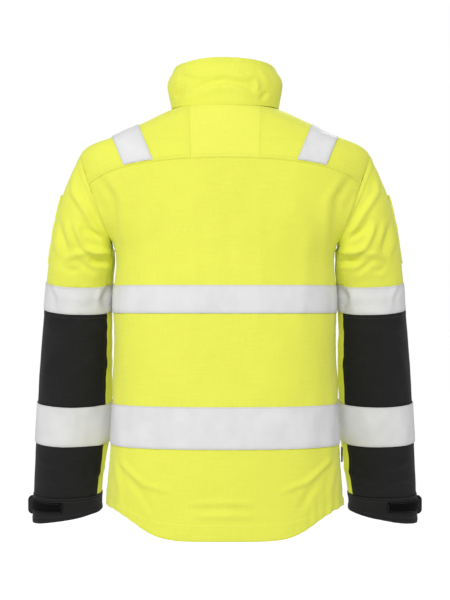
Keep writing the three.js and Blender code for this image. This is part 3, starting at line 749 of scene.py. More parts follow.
# ------------------------------------------------------------------ materials
class Nodes:
    """Short ways to add shader nodes to one material."""

    def __init__(self, name):
        self.material = bpy.data.materials.new(name)
        self.material.use_nodes = True
        self.tree = self.material.node_tree
        self.shader = self.tree.nodes["Principled BSDF"]

    def add(self, kind, **inputs):
        node = self.tree.nodes.new(kind)
        for name, value in inputs.items():
            socket = node.inputs[name.replace("_", " ")]
            if isinstance(value, bpy.types.NodeSocket):
                self.tree.links.new(value, socket)
            else:
                socket.default_value = value
        return node

    def link(self, source, socket_name):
        self.tree.links.new(source, self.shader.inputs[socket_name])

    def set(self, **values):
        for name, value in values.items():
            self.shader.inputs[name.replace("_", " ")].default_value = value

    def math(self, operation, a, b):
        node = self.tree.nodes.new("ShaderNodeMath")
        node.operation = operation
        for socket, value in zip(node.inputs, (a, b)):
            if isinstance(value, bpy.types.NodeSocket):
                self.tree.links.new(value, socket)
            else:
                socket.default_value = value
        return node.outputs[0]

    def noise(self, vector, scale, detail=3.0):
        node = self.add("ShaderNodeTexNoise", Vector=vector, Scale=scale, Detail=detail)
        return node.outputs["Fac"]

    def ramp(self, value, low, high, low_at=0.0, high_at=1.0):
        node = self.tree.nodes.new("ShaderNodeMapRange")
        node.inputs["From Min"].default_value = low_at
        node.inputs["From Max"].default_value = high_at
        node.inputs["To Min"].default_value = low
        node.inputs["To Max"].default_value = high
        self.tree.links.new(value, node.inputs["Value"])
        return node.outputs["Result"]

    def shaded(self, color, factor):
        """The colour made lighter or darker by a factor around 1."""
        node = self.tree.nodes.new("ShaderNodeMix")
        node.data_type = "RGBA"
        node.blend_type = "MULTIPLY"
        node.inputs["Factor"].default_value = 1
        node.inputs["A"].default_value = (*color, 1)
        self.tree.links.new(factor, node.inputs["B"])
        return node.outputs["Result"]

    def bump(self, height, distance, strength=1.0, normal=None):
        node = self.add("ShaderNodeBump", Height=height, Distance=distance, Strength=strength)
        if normal is not None:
            self.tree.links.new(normal, node.inputs["Normal"])
        return node.outputs["Normal"]


def coordinates(nodes):
    """The cloth's own coordinates, in metres along its threads, and the object's own."""
    return nodes.add("ShaderNodeUVMap").outputs["UV"], nodes.add("ShaderNodeTexCoord").outputs["Object"]


def ribs(nodes, uv, pitch, across, along):
    """Rounded ribs of a given pitch that run diagonally, across or along the cloth."""
    scaled = nodes.add("ShaderNodeVectorMath")
    scaled.operation = "DOT_PRODUCT"
    nodes.tree.links.new(uv, scaled.inputs[0])
    scaled.inputs[1].default_value = (across * math.tau / pitch, along * math.tau / pitch, 0)
    wave = nodes.math("SINE", scaled.outputs["Value"], 0.0)
    return nodes.ramp(wave, 0.0, 1.0, -1.0, 1.0)


def slub(nodes, uv, amount):
    """Threads that are a little thicker or paler for a stretch, along the cloth and across it."""
    total = None
    for along, across in ((900.0, 26.0), (20.0, 620.0)):
        stretched = nodes.add("ShaderNodeVectorMath")
        stretched.operation = "MULTIPLY"
        nodes.tree.links.new(uv, stretched.inputs[0])
        stretched.inputs[1].default_value = (along, across, 1)
        streak = nodes.ramp(nodes.noise(stretched.outputs["Vector"], 1.0, 2.0), 1 - amount, 1 + amount,
                            0.3, 0.7)
        total = streak if total is None else nodes.math("MULTIPLY", total, streak)
    return total


def woven(name, color, roughness, pitch, mottle, depth, twill=True, painted_seam_shade=0.1, sheen=0.15, sheen_tint=(1, 1, 1)):
    """Twill or plain cloth: ribs and cross threads, mottled colour, and a seam darkened by painted shade."""
    nodes = Nodes(name)
    uv, place = coordinates(nodes)
    rib = ribs(nodes, uv, pitch, 0.8 if twill else 1.0, 0.6 if twill else 0.0)
    thread = ribs(nodes, uv, pitch * 0.8, 0.0, 1.0)
    surface = nodes.math("ADD", nodes.math("MULTIPLY", rib, 0.7), nodes.math("MULTIPLY", thread, 0.3))
    broad = nodes.noise(place, 9.0, 3.0)
    fine = nodes.noise(place, 420.0, 2.0)
    seam = nodes.add("ShaderNodeAttribute")
    seam.attribute_name = "seam"
    tone = nodes.math("ADD", nodes.ramp(broad, 1 - mottle, 1 + mottle * 0.6, 0.3, 0.7),
                      nodes.ramp(fine, -mottle * 0.6, mottle * 0.6, 0.3, 0.7))
    # Painted shade: the colour is darkened near each seam, where its groove would lie in shade.
    tone = nodes.math("SUBTRACT", tone, nodes.math("MULTIPLY", seam.outputs["Fac"], painted_seam_shade))
    # Painted shade and highlight: the colour is darker in the ribs' grooves and lighter on their crests.
    tone = nodes.math("MULTIPLY", tone, nodes.ramp(rib, 0.955, 1.02))
    tone = nodes.math("MULTIPLY", tone, slub(nodes, uv, mottle))
    nodes.link(nodes.shaded(color, tone), "Base Color")
    nodes.link(nodes.ramp(fine, roughness - 0.06, roughness + 0.06, 0.3, 0.7), "Roughness")
    soft = nodes.bump(nodes.noise(place, 46.0, 3.0), 0.0022, 0.35)
    nodes.link(nodes.bump(surface, depth, 0.55, soft), "Normal")
    nodes.set(Sheen_Weight=sheen, Sheen_Roughness=0.45, Sheen_Tint=(*sheen_tint, 1), Specular_IOR_Level=0.22)
    return nodes.material


def reflective(name, color):
    """Glass-bead tape: tiny beads, faint cross ribs, rubbed patches and painted shade along its seams."""
    nodes = Nodes(name)
    uv, place = coordinates(nodes)
    beads = nodes.add("ShaderNodeTexVoronoi", Vector=uv, Scale=1500.0).outputs["Distance"]
    rib = ribs(nodes, uv, 0.0021, 0.0, 1.0)
    rubbed = nodes.noise(place, 26.0, 4.0)
    tone = nodes.math("ADD", nodes.ramp(rubbed, 0.955, 1.03, 0.3, 0.7), nodes.ramp(beads, 0.02, -0.05))
    seam = nodes.add("ShaderNodeAttribute")
    seam.attribute_name = "seam"
    # Painted shade: the tape's colour is darkened near its seams.
    tone = nodes.math("SUBTRACT", tone, nodes.math("MULTIPLY", seam.outputs["Fac"], 0.07))
    nodes.link(nodes.shaded(color, tone), "Base Color")
    nodes.link(nodes.ramp(rubbed, 0.55, 0.68, 0.3, 0.7), "Roughness")
    soft = nodes.bump(rib, 0.00005, 0.5)
    nodes.link(nodes.bump(beads, 0.00012, 0.35, soft), "Normal")
    nodes.set(Specular_IOR_Level=0.16)
    return nodes.material


def pile(name, color):
    """Knitted loop pile: close little loops in rows."""
    nodes = Nodes(name)
    uv, place = coordinates(nodes)
    loops = nodes.add("ShaderNodeTexVoronoi", Vector=uv, Scale=900.0).outputs["Distance"]
    fuzz = nodes.noise(place, 700.0, 4.0)
    nodes.link(nodes.shaded(color, nodes.ramp(loops, 2.4, 0.4)), "Base Color")
    nodes.link(nodes.ramp(fuzz, 0.85, 1.0), "Roughness")
    soft = nodes.bump(fuzz, 0.0006, 0.6)
    nodes.link(nodes.bump(loops, 0.0009, 0.9, soft), "Normal")
    nodes.set(Sheen_Weight=0.02, Sheen_Roughness=0.6, Specular_IOR_Level=0.05)
    return nodes.material


def moulded(name, color, roughness):
    """Moulded plastic with a fine spark-eroded grain and paler rubbed patches."""
    nodes = Nodes(name)
    place = nodes.add("ShaderNodeTexCoord").outputs["Object"]
    grain = nodes.noise(place, 1800.0, 2.0)
    rubbed = nodes.noise(place, 140.0, 3.0)
    nodes.link(nodes.shaded(color, nodes.ramp(rubbed, 0.85, 1.35, 0.35, 0.7)), "Base Color")
    nodes.link(nodes.ramp(rubbed, roughness - 0.08, roughness + 0.1, 0.3, 0.7), "Roughness")
    nodes.link(nodes.bump(grain, 0.00008, 0.5), "Normal")
    nodes.set(Specular_IOR_Level=0.5)
    return nodes.material


def sewing_thread(name, color):
    """Twisted polyester thread."""
    nodes = Nodes(name)
    place = nodes.add("ShaderNodeTexCoord").outputs["Object"]
    twist = nodes.noise(place, 2600.0, 2.0)
    nodes.link(nodes.shaded(color, nodes.ramp(twist, 0.8, 1.1, 0.3, 0.7)), "Base Color")
    nodes.link(nodes.ramp(twist, 0.45, 0.6), "Roughness")
    nodes.link(nodes.bump(twist, 0.0002, 0.6), "Normal")
    nodes.set(Sheen_Weight=0.2, Specular_IOR_Level=0.3)
    return nodes.material


YELLOW = (0.885, 0.92, 0.105)
# The yoke's yellow is a paler, lit copy of the body's twill: painted highlight on the centre of the yoke.
LIT_YOKE_YELLOW = (0.915, 0.945, 0.118)
yellow = woven("yellow_twill", YELLOW, 0.82, 0.0011, 0.022, 0.00022, painted_seam_shade=0.03)
lit_yoke_yellow = woven("yoke_twill_lit", LIT_YOKE_YELLOW, 0.82, 0.0011, 0.018, 0.00022, painted_seam_shade=0.02)
black = woven("black_twill", (0.0122, 0.0122, 0.0124), 0.85, 0.0011, 0.12, 0.00026, painted_seam_shade=0.2, sheen=0.05)
cuff_black = woven("cuff_twill", (0.0120, 0.0120, 0.0122), 0.86, 0.0013, 0.12, 0.0003, painted_seam_shade=0.2, sheen=0.05)
lining = woven("mesh_lining", (0.62, 0.66, 0.12), 0.9, 0.0016, 0.03, 0.0003, twill=False, painted_seam_shade=0.12)
black_lining = woven("black_lining", (0.03, 0.031, 0.033), 0.88, 0.0012, 0.08, 0.0002, twill=False)
facing = woven("facing_weave", (0.05, 0.055, 0.06), 0.88, 0.0009, 0.08, 0.0002, twill=False, sheen=0.2)
trim = woven("trim_tape", (0.012, 0.012, 0.013), 0.8, 0.0016, 0.1, 0.0004, twill=False, sheen=0.25)
label = woven("woven_label", (0.74, 0.74, 0.71), 0.7, 0.0006, 0.03, 0.0001, twill=False)
silver = reflective("reflective_tape", (0.815, 0.815, 0.815))
sleeve_silver = reflective("sleeve_reflective_tape", (0.81, 0.81, 0.81))
loops = pile("loop_pile", (0.0016, 0.0016, 0.0016))
slider_plastic = moulded("slider_plastic", (0.02, 0.02, 0.021), 0.42)
teeth_plastic = moulded("zip_teeth", (0.016, 0.016, 0.017), 0.5)
yellow_thread = sewing_thread("yellow_thread", (0.80, 0.84, 0.16))
black_thread = sewing_thread("black_thread", (0.035, 0.035, 0.037))
grey_thread = sewing_thread("grey_thread", (0.55, 0.55, 0.55))

# Each look is its outer side, its inner side and its thread.
LOOKS = {
    "yellow": (yellow, lining, yellow_thread),
    "yoke": (lit_yoke_yellow, lining, yellow_thread),
    "black": (black, black_lining, black_thread),
    "cuff": (cuff_black, black_lining, black_thread),
    "silver": (silver, silver, grey_thread),
    "sleeve_silver": (sleeve_silver, black_lining, grey_thread),
    "facing": (facing, facing, black_thread),
    "loops": (loops, trim, black_thread),
    "zip": (trim, trim, black_thread),
    "trim": (trim, trim, black_thread),
    "label": (label, label, grey_thread),
}


def across_shoulder(piece, side, sign):
    """Bakes the transform of an upper sleeve piece into its mesh."""
    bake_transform(piece)


def across_elbow(piece, side, sign):
    """Bakes the transform of a sleeve piece below the shoulder into its mesh."""
    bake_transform(piece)


def across_front(piece):
    """Bakes the transform of a piece on the side of the body into its mesh."""
    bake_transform(piece)


def stands_for(node):
    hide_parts(node)


def fixed(piece, body_name, node):
    """A piece that rides on one body and stands for one node."""
    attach(piece, body_name)
    stands_for(node)


def box_of(node):
    """The middle and the half size of a node's box, in millimetres."""
    low, high = (np.array(corner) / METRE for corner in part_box(node))
    return (low + high) / 2, (high - low) / 2


# ------------------------------------------------------------------ body of the jacket
SIDE_SEAM = 3.0
YOKE_CENTER_X = (62.0, 66.0)


def yoke_half(at):
    return YOKE_CENTER_X[0] + (YOKE_CENTER_X[1] - YOKE_CENTER_X[0]) * (at - YOKE) / (NECK - YOKE)


def back_edges(at):
    edge = np.maximum(SIDE_SEAM, armhole_angle(at, 1))
    return edge, 180 - edge


def make_back():
    back = cloth("back_cloth", body, (HEM, YOKE), back_edges, ("hem", "under", "lap", "lap"), "yellow",
                 folds=body_folds, step=4.6, seed=11)
    fixed(back, "torso", "back_panel")

    def centre_edges(at):
        edge = back_angle(at, yoke_half(at))
        return edge, 180 - edge

    centre = cloth("yoke_centre_cloth", body, (YOKE, NECK), centre_edges, ("lap", "flush", "flush", "flush"),
                   "yoke", folds=body_folds, step=4.2, seed=12)
    fixed(centre, "torso", "yoke_center")


def make_yoke_side(side, sign):
    def edges(at):
        return back_angle(at, yoke_half(at)), np.maximum(0, armhole_angle(at, 1))

    yoke = cloth(f"yoke_{side}_cloth", body, (YOKE, NECK), edges, ("lap", "flush", "flush", "under"),
                 "yellow", sign, body_folds, step=4.2, seed=13)
    fixed(yoke, "torso", f"yoke_{side}")


def make_front_shoulder(side, sign):
    def edges(at):
        return np.minimum(0, armhole_angle(at, -1)), front_seam_angle(at)

    shoulder = cloth(f"front_shoulder_{side}_cloth", body, (YOKE, NECK), edges,
                     ("lap", "under", "lap", "under"), "yellow", sign, body_folds, step=4.6, seed=14)
    across_front(shoulder)
    stands_for(f"front_shoulder_{side}")


def make_side_panel(side, sign):
    def edges(at):
        free = np.full_like(at, SIDE_SEAM)
        return front_seam_angle(at), np.where(at > UNDERARM, np.minimum(free, armhole_angle(at, -1)), free)

    panel = cloth(f"side_panel_{side}_cloth", body, (HEM, YOKE), edges, ("hem", "under", "under", "under"),
                  "yellow", sign, body_folds, step=4.8, seed=15)
    across_front(panel)
    stands_for(f"side_panel_{side}")


FRONT_EDGE = 6.8
FACING_X = (7.8, 62.0)
FACING_RINGS = (0.06, 9.8)
FACING_OFFSET = -3.9


def make_front(side, sign):
    """One front of the shell and the facing behind its edge."""
    def front_edges(at):
        return front_angle(at, FRONT_EDGE), front_seam_angle(at)

    def facing_edges(at):
        return tuple(front_angle(at, x) for x in FACING_X)

    front = cloth(f"front_{side}_cloth", body, (HEM, NECK), front_edges, ("hem", "under", "turned", "lap"),
                  "yellow", sign, body_folds, step=4.6, seed=16)
    fixed(front, f"{side}_front", f"front_{side}")
    inside = cloth(f"front_facing_{side}_cloth", body, FACING_RINGS, facing_edges,
                   ("turned", "plain", "plain", "turned"), "facing", sign, body_folds, step=6.5,
                   offset=FACING_OFFSET, thickness=1.3, seed=17)
    fixed(inside, f"{side}_front", f"front_facing_{side}")


# ------------------------------------------------------------------ collar
COLLAR_SPLIT = -40.0
COLLAR_SIDE = 8.0


COLLAR_CLOTH = {"folds": collar_folds, "thickness": 4.2}


def make_collar():
    back = cloth("collar_back_cloth", collar, (0, COLLAR_TOP), between(COLLAR_SIDE, 180 - COLLAR_SIDE),
                 ("flush", "lap", "plain", "plain"), "yellow", step=3.6, seed=21, **COLLAR_CLOTH)
    fixed(back, "torso", "collar_back")

    def front_edges(at):
        return front_angle(at, FRONT_EDGE, collar_point), np.full_like(at, COLLAR_SPLIT)

    for side, sign in SIDES:
        wing = cloth(f"collar_side_{side}_cloth", collar, (0, COLLAR_TOP), between(COLLAR_SPLIT, COLLAR_SIDE),
                     ("flush", "lap", "plain", "plain"), "yellow", sign, step=3.8, seed=22, **COLLAR_CLOTH)
        across_front(wing)
        front = cloth(f"collar_front_{side}_cloth", collar, (0, COLLAR_TOP), front_edges,
                      ("flush", "lap", "turned", "plain"), "yellow", sign, step=3.8, seed=23, **COLLAR_CLOTH)
        across_front(front)
        stands_for(f"collar_front_{side}")


# ------------------------------------------------------------------ tapes on the body
TAPES = (("upper", -320.0, 51.0), ("lower", -539.0, 76.0))
TAPE_EDGES = ("tape",) * 4
FRONT_TAPE_EDGE = 9.6


def level(surface):
    """A surface whose second number is a height in place of a ring."""
    return lambda angle, z: surface(angle, ring_at_height(angle, z))


def front_sheet(x, z):
    """Points on the front, from x and z."""
    return body_point(*front_at(x, z))


def with_sheet_normal(surface):
    def place(x, z):
        normal = np.cross(surface(x + 0.8, z) - surface(x - 0.8, z), surface(x, z + 0.8) - surface(x, z - 0.8))
        normal /= np.maximum(np.linalg.norm(normal, axis=-1, keepdims=True), 1e-9)
        return surface(x, z), normal
    return place


front_flat = with_sheet_normal(front_sheet)


def tape_wave(points, seed):
    """Small dents where the stiff tape puckers along its seams."""
    return 0.42 * soft_noise(points * (1.0, 1.0, 0.25), 24, seed) + 0.25 * soft_noise(points, 12, seed + 1)


def taped_body(points):
    return body_folds(points) + tape_wave(points, 60)


BODY_TAPE = {"folds": taped_body, "offset": 2.1, "thickness": 1.0, "pucker": 0}


def make_body_tapes():
    def side_edges(z):
        return front_seam_angle(ring_at_height(-40.0, z)), np.full_like(z, SIDE_SEAM)

    def front_edges(z):
        return np.full_like(z, FRONT_TAPE_EDGE), front_seam_x(z)

    for name, top, width in TAPES:
        heights = (top - width, top)
        back = cloth(f"{name}_body_tape_back", level(body), heights, between(SIDE_SEAM, 180 - SIDE_SEAM),
                     TAPE_EDGES, "silver", step=4.6, seed=31, **BODY_TAPE)
        fixed(back, "torso", f"{name}_body_tape")
        for side, sign in SIDES:
            wing = cloth(f"{name}_body_tape_{side}", level(body), heights, side_edges, TAPE_EDGES,
                         "silver", sign, step=5, seed=32, **BODY_TAPE)
            across_front(wing)
            front = cloth(f"{name}_front_tape_{side}_band", front_flat, heights, front_edges, TAPE_EDGES,
                          "silver", sign, step=5, seed=33, **BODY_TAPE)
            fixed(front, f"{side}_front", f"{name}_front_tape_{side}")


SHOULDER_TAPE_LOW = YOKE + 0.06
SHOULDER_TAPE_X = {"low": (184.0, 131.0), "ridge": (212.0, 163.0)}


def shoulder_band(share, place):
    """Points of the shoulder tape: share runs across it, place from the back (0) to the front (1)."""
    share, place = np.broadcast_arrays(np.asarray(share, float), np.asarray(place, float))
    low_x = SHOULDER_TAPE_X["low"][0] + (SHOULDER_TAPE_X["low"][1] - SHOULDER_TAPE_X["low"][0]) * share
    ridge_x = SHOULDER_TAPE_X["ridge"][0] + (SHOULDER_TAPE_X["ridge"][1] - SHOULDER_TAPE_X["ridge"][0]) * share
    ridge_at = bisect(lambda at: ridge_x - body_point(0.0, at)[..., 0], np.full_like(share, SHOULDER),
                      np.full_like(share, 10.0))
    ridge = body_point(0.0, ridge_at)
    start = np.full_like(share, SHOULDER_TAPE_LOW)
    low_angle = np.where(place < 0.5, back_angle(start, low_x), front_angle(start, low_x))
    low = body_point(low_angle, start)
    climb = np.clip(np.abs(place - 0.5) * 2, 0, 1)
    angle = low_angle * (1 - (1 - climb) ** 1.6)

    def inside(at):
        point = body_point(angle, at)
        return ((low[..., 2] - ridge[..., 2]) * (point[..., 0] - ridge[..., 0])
                - (low[..., 0] - ridge[..., 0]) * (point[..., 2] - ridge[..., 2]))
    at = bisect(inside, start, np.full_like(share, 10.0))
    return body_point(angle, at)


def shoulder_place(share, place):
    """The band with its normals, turned to look out of the jacket."""
    step = 0.006
    across = shoulder_band(share + step, place) - shoulder_band(share - step, place)
    before, after = np.clip(place - step, 0, 1), np.clip(place + step, 0, 1)
    along = shoulder_band(share, after) - shoulder_band(share, before)
    normal = np.cross(along, across)
    normal /= np.maximum(np.linalg.norm(normal, axis=-1, keepdims=True), 1e-9)
    centre = np.array([120.0, 0, -300])
    point = shoulder_band(share, place)
    normal *= np.sign(((point - centre) * normal).sum(-1, keepdims=True))
    return point, normal


SHOULDER_TAPE = {"folds": taped_body, "step": 4, "offset": 2.4, "thickness": 1.0, "seed": 34, "pucker": 0}


def make_shoulder_tape(side, sign):
    """The tape in two halves that meet on the ridge of the shoulder."""
    whole = between(0.0, 1.0)
    back = cloth(f"shoulder_tape_{side}_back", shoulder_place, (0.0, 0.5), whole,
                 ("tape", "plain", "tape", "tape"), "silver", sign, **SHOULDER_TAPE)
    fixed(back, "torso", f"shoulder_tape_{side}")
    front = cloth(f"shoulder_tape_{side}_front", shoulder_place, (0.5, 1.0), whole,
                  ("plain", "tape", "tape", "tape"), "silver", sign, **SHOULDER_TAPE)
    across_front(front)


# ------------------------------------------------------------------ sleeves
def taped_sleeve(points):
    return sleeve_folds(points) + tape_wave(points * (1, 1, 0.8), 70)


OUTER_SLEEVE = between(UNDER_TO - 360.0, UNDER_FROM)
UNDER_SLEEVE = between(UNDER_FROM, UNDER_TO)
WHOLE_SLEEVE = between(0.0, 360.0)
LAPPED = ("lap", "under", "lap", "lap")
TUCKED = ("under",) * 4
PILE_ANGLES, PILE_RINGS = (10.0, 86.0), (CUFF + 0.12, CUFF + 0.52)
POCKET_ANGLES, POCKET_RINGS = (-74.0, 0.0), (0.98, 2.5)


def make_sleeve(side, sign):
    """The sleeve from the armhole to the cuff, and the pocket on it.

    Each row is the function that bakes the piece's transform, its node, its ending, rings, edges, kinds, look,
    slot and the rest.
    """
    taped = {"folds": taped_sleeve, "step": 4.4, "ring": True, "pucker": 0}
    tape_edges = ("tape", "tape", "plain", "plain")
    rows = (
        (across_shoulder, "upper_sleeve", "cloth", (0.0, TAPE_START), OUTER_SLEEVE, LAPPED, "yellow",
         "yellow_cloth", {"step": 4.6, "seed": 51, "lift": armhole_ridge}),
        (across_shoulder, "upper_undersleeve", "cloth", (0.0, TAPE_START), UNDER_SLEEVE, TUCKED, "yellow",
         "yellow_cloth", {"step": 5, "seed": 52}),
        (across_elbow, "upper_sleeve_tape", "band", (TAPE_START, ELBOW), WHOLE_SLEEVE, tape_edges,
         "sleeve_silver", "reflective_tape", {"offset": 1.3, "thickness": 2.6, "seed": 53, **taped}),
        (across_elbow, "lower_sleeve", "cloth", (ELBOW, CUFF), OUTER_SLEEVE, LAPPED, "black",
         "black_cloth", {"step": 4.6, "seed": 54}),
        (across_elbow, "lower_undersleeve", "cloth", (ELBOW, CUFF), UNDER_SLEEVE, TUCKED, "yellow",
         "yellow_cloth", {"step": 5, "seed": 55}),
        (across_elbow, "lower_sleeve_tape", "band", (LOWER_TAPE, LOWER_TAPE_END), WHOLE_SLEEVE, tape_edges,
         "sleeve_silver", "reflective_tape", {"offset": 2.2, "thickness": 1.1, "seed": 56, **taped}),
        (across_elbow, "cuff", "cloth", (CUFF, CUFF_END), WHOLE_SLEEVE, ("lap", "lap", "plain", "plain"),
         "cuff", "black_cloth", {"step": 3.8, "offset": 0.9, "thickness": 4.0, "ring": True, "seed": 57}),
        (across_elbow, "cuff_loop_strip", "pile", PILE_RINGS, between(*PILE_ANGLES), ("turned",) * 4, "loops",
         "loop_fastener", {"step": 3.4, "offset": 3.3, "thickness": 1.3, "seed": 58, "lift": pile_bumps}),
    )
    for bend, node, ending, rings, edges, kinds, look, slot_name, more in rows:
        more = {"folds": sleeve_folds, **more}
        piece = cloth(f"{node}_{side}_{ending}", sleeve, rings, edges, kinds, look, sign, **more)
        bend(piece, side, sign)
        stands_for(f"{node}_{side}")
    patch = cloth(f"sleeve_pocket_{side}_cloth", sleeve, POCKET_RINGS, between(*POCKET_ANGLES),
                  ("turned", "turned", "lap", "lap"), "yellow", sign, sleeve_folds, step=4.2, offset=1.9,
                  thickness=3.6, seed=59, lift=pocket_gape)
    fixed(patch, f"{side}_sleeve", f"sleeve_pocket_{side}")


def armhole_ridge(grid, points):
    """A second seam on the sleeve cap, level with the armhole's own, on the back of the sleeve."""
    back = np.clip(np.sin(np.radians(grid["angle"])) * 1.6, 0, 1)
    distance = grid["along"] - 17
    return back * (-0.9 * np.exp(-(distance / 1.8) ** 2) + 1.3 * np.exp(-((distance + 8) / 4.5) ** 2))


def pile_bumps(grid, points):
    return 0.22 * soft_noise(points, 2.8, 77)


def pocket_gape(grid, points):
    """The pocket's mouth stands open at its upper edge."""
    mouth, bottom = POCKET_RINGS
    share = np.clip((grid["at"] - mouth) / (bottom - mouth), 0, 1)
    return 1.9 * (1 - share) ** 3 + 0.3 * np.sin(share * math.pi)


# ------------------------------------------------------------------ pockets, flaps and patches
POCKETS = (("chest", 30.0, 108.0, -306.0, -196.0, 42.0), ("lower", 30.0, 122.0, -526.0, -396.0, 46.0))
POCKET_OFFSET = 2.6
FLAP_OFFSET = 7.5
FLAP_ABOVE, FLAP_BESIDE = 8, 3


def make_pockets(side, sign):
    for name, inner_x, outer_x, bottom, top, flap_height in POCKETS:
        bag = cloth(f"{name}_pocket_{side}_cloth", front_flat, (bottom, top), between(inner_x, outer_x),
                    ("lap", "turned", "lap", "lap"), "yellow", sign, body_folds, step=5,
                    offset=POCKET_OFFSET, thickness=1.4, crown=1.9, seed=61)
        fixed(bag, f"{side}_front", f"{name}_pocket_{side}")
        flap_top = top + FLAP_ABOVE
        flap = cloth(f"{name}_flap_{side}_cloth", front_flat, (flap_top - flap_height, flap_top),
                     between(inner_x - FLAP_BESIDE, outer_x + FLAP_BESIDE), ("lap",) * 4, "yellow", sign,
                     body_folds, step=5, offset=FLAP_OFFSET, thickness=2.0, crown=0.5, seed=62)
        fixed(flap, f"{side}_{name}_flap", f"{name}_flap_{side}")


def flat_place(centre, across, along, normal):
    """A flat surface around a centre, its two numbers in millimetres."""
    centre, across, along, normal = (np.asarray(value, float) for value in (centre, across, along, normal))

    def place(u, v):
        u, v = np.broadcast_arrays(np.asarray(u, float), np.asarray(v, float))
        point = centre + across * u[..., None] + along * v[..., None]
        return point, np.broadcast_to(normal, point.shape).copy()
    return place


def rounded(half_length, radius, half_width):
    """Ends of a strip with rounded corners: how far it reaches at each distance across."""
    def edges(v):
        past = np.clip(np.abs(v) - (half_width - radius), 0, radius)
        short = radius - np.sqrt(np.maximum(radius * radius - past * past, 0))
        return -(half_length - short), half_length - short
    return edges


BADGE_HALF = (31.0, 21.0)
BADGE_CORNER = 4.0
TAB_CORNER = 9.0


def make_badge():
    tilt = math.atan(LEAN)
    normal = (0, -math.cos(tilt), math.sin(tilt))
    upwards = (0, math.sin(tilt), math.cos(tilt))
    centre, _ = box_of("badge_patch")
    patch = cloth("badge_patch_cloth", flat_place(centre, (1, 0, 0), upwards, normal),
                  (-BADGE_HALF[1], BADGE_HALF[1]), rounded(BADGE_HALF[0], BADGE_CORNER, BADGE_HALF[1]),
                  ("turned",) * 4, "black", step=3.2, offset=1.2, thickness=5.2, seed=63, pucker=0.15)
    fixed(patch, "right_front", "badge_patch")


def make_cuff_tab(side, sign):
    centre, (half_length, _, half_height) = box_of(f"cuff_tab_{side}")

    def edges(v):
        start, end = rounded(half_length, TAB_CORNER, half_height)(v)
        return np.full_like(v, -half_length), end

    def bent(grid, points):
        """The free end curls back a little, and the sewn end dips to the cuff."""
        share = np.clip((grid["angle"] + half_length) / (2 * half_length), 0, 1)
        return -2.6 * share ** 3 - 0.8 * (1 - share) ** 4 + 0.5 * np.sin(share * math.pi)

    tab = cloth(f"cuff_tab_{side}_cloth", flat_place(centre * (sign, 1, 1), (1, 0, 0), (0, 0, 1), (0, -1, 0)),
                (-half_height, half_height), edges, ("lap",) * 4, "cuff", sign, step=3.4, offset=1.4,
                thickness=3.0, seed=64, lift=bent, pucker=0.2)
    fixed(tab, f"{side}_cuff_tab", f"cuff_tab_{side}")


def make_side_tag():
    centre, (_, half_length, half_height) = box_of("side_tag")
    tag = cloth("side_tag_tape", flat_place(centre, (0, 1, 0), (0, 0, 1), (-1, 0, 0)),
                (-half_height, half_height), between(-half_length, half_length), ("turned",) * 4, "trim",
                step=2.4, offset=1.0, thickness=2.0, seed=65, pucker=0.1)
    fixed(tag, "torso", "side_tag")


LABEL_HALF = 21.0
LABEL_RINGS = (9.0, 9.55)


def make_neck_label():
    """A plain woven label inside the back of the yoke, under the hang loop."""
    def edges(at):
        edge = back_angle(at, LABEL_HALF)
        return edge, 180 - edge

    made = cloth("neck_label", body, LABEL_RINGS, edges, TAPE_EDGES, "label", folds=body_folds, step=3,
                 offset=-3.0, thickness=0.6, seed=66, pucker=0)
    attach(made, "torso")


LOOP_ROUTE = np.array([(-32, 74, 2), (-16, 70, 8), (0, 68.5, 13), (16, 70, 8), (32, 74, 2)], float)


def make_hang_loop():
    """A flat braided loop, thicker at its two edges."""
    steps, around = 60, 14
    at = np.linspace(0, len(LOOP_ROUTE) - 1, steps)
    route = np.stack([through(LOOP_ROUTE[:, k], at) for k in range(3)], -1)
    forward = np.gradient(route, axis=0)
    forward /= np.linalg.norm(forward, axis=1, keepdims=True)
    out = np.cross(forward, (0, 1, 0))
    out /= np.linalg.norm(out, axis=1, keepdims=True)
    thick = np.cross(out, forward)
    turn = np.linspace(0, 2 * math.pi, around, endpoint=False)
    run = run_of(route)
    wide = 3.1 + 0.18 * np.sin(run / 1.9 * 2 * math.pi)
    deep = 1.35 * (1 + 0.22 * np.cos(2 * turn))
    rings = (route[:, None] + out[:, None] * (wide[:, None] * np.cos(turn))[..., None]
             + thick[:, None] * (deep * np.sin(turn))[None, :, None])
    vertices = np.concatenate([rings.reshape(-1, 3), route[:1], route[-1:]])
    faces = []
    for row in range(steps - 1):
        for k in range(around):
            n = (k + 1) % around
            faces.append((row * around + k, row * around + n, (row + 1) * around + n, (row + 1) * around + k))
    first, last = steps * around, steps * around + 1
    base = (steps - 1) * around
    for k in range(around):
        n = (k + 1) % around
        faces.append((first, n, k))
        faces.append((last, base + k, base + n))
    uv = np.stack([np.tile(turn * 2.5, steps), np.repeat(run, around)], -1)
    uv = np.concatenate([uv, uv[:2]])
    made = mesh_object("hang_loop_braid", vertices, faces, (trim,), None, uv)
    recalculate(made)
    fixed(made, "torso", "hang_loop")


def recalculate(made):
    """Turns every face of a closed mesh outwards."""
    work = bmesh.new()
    work.from_mesh(made.data)
    bmesh.ops.recalc_face_normals(work, faces=work.faces)
    work.to_mesh(made.data)
    work.free()


# ------------------------------------------------------------------ zip
ZIP_TAPE_X = (1.6, 9.0)
TOOTH_PITCH = 3.0
# A tooth has a neck on the tape and a wider rounded head; each level is a height and a share of width.
TOOTH = ((4.4, -0.75), (2.3, -0.75), (1.5, -1.05), (0.35, -0.9), (0.1, 0.0),
         (0.35, 0.9), (1.5, 1.05), (2.3, 0.75), (4.4, 0.75))
TOOTH_LEVELS = ((-0.7, 1.0), (0.55, 1.0), (1.0, 0.72))
TOOTH_MIDDLE, TOP_LENGTH = 2.25, 0.9


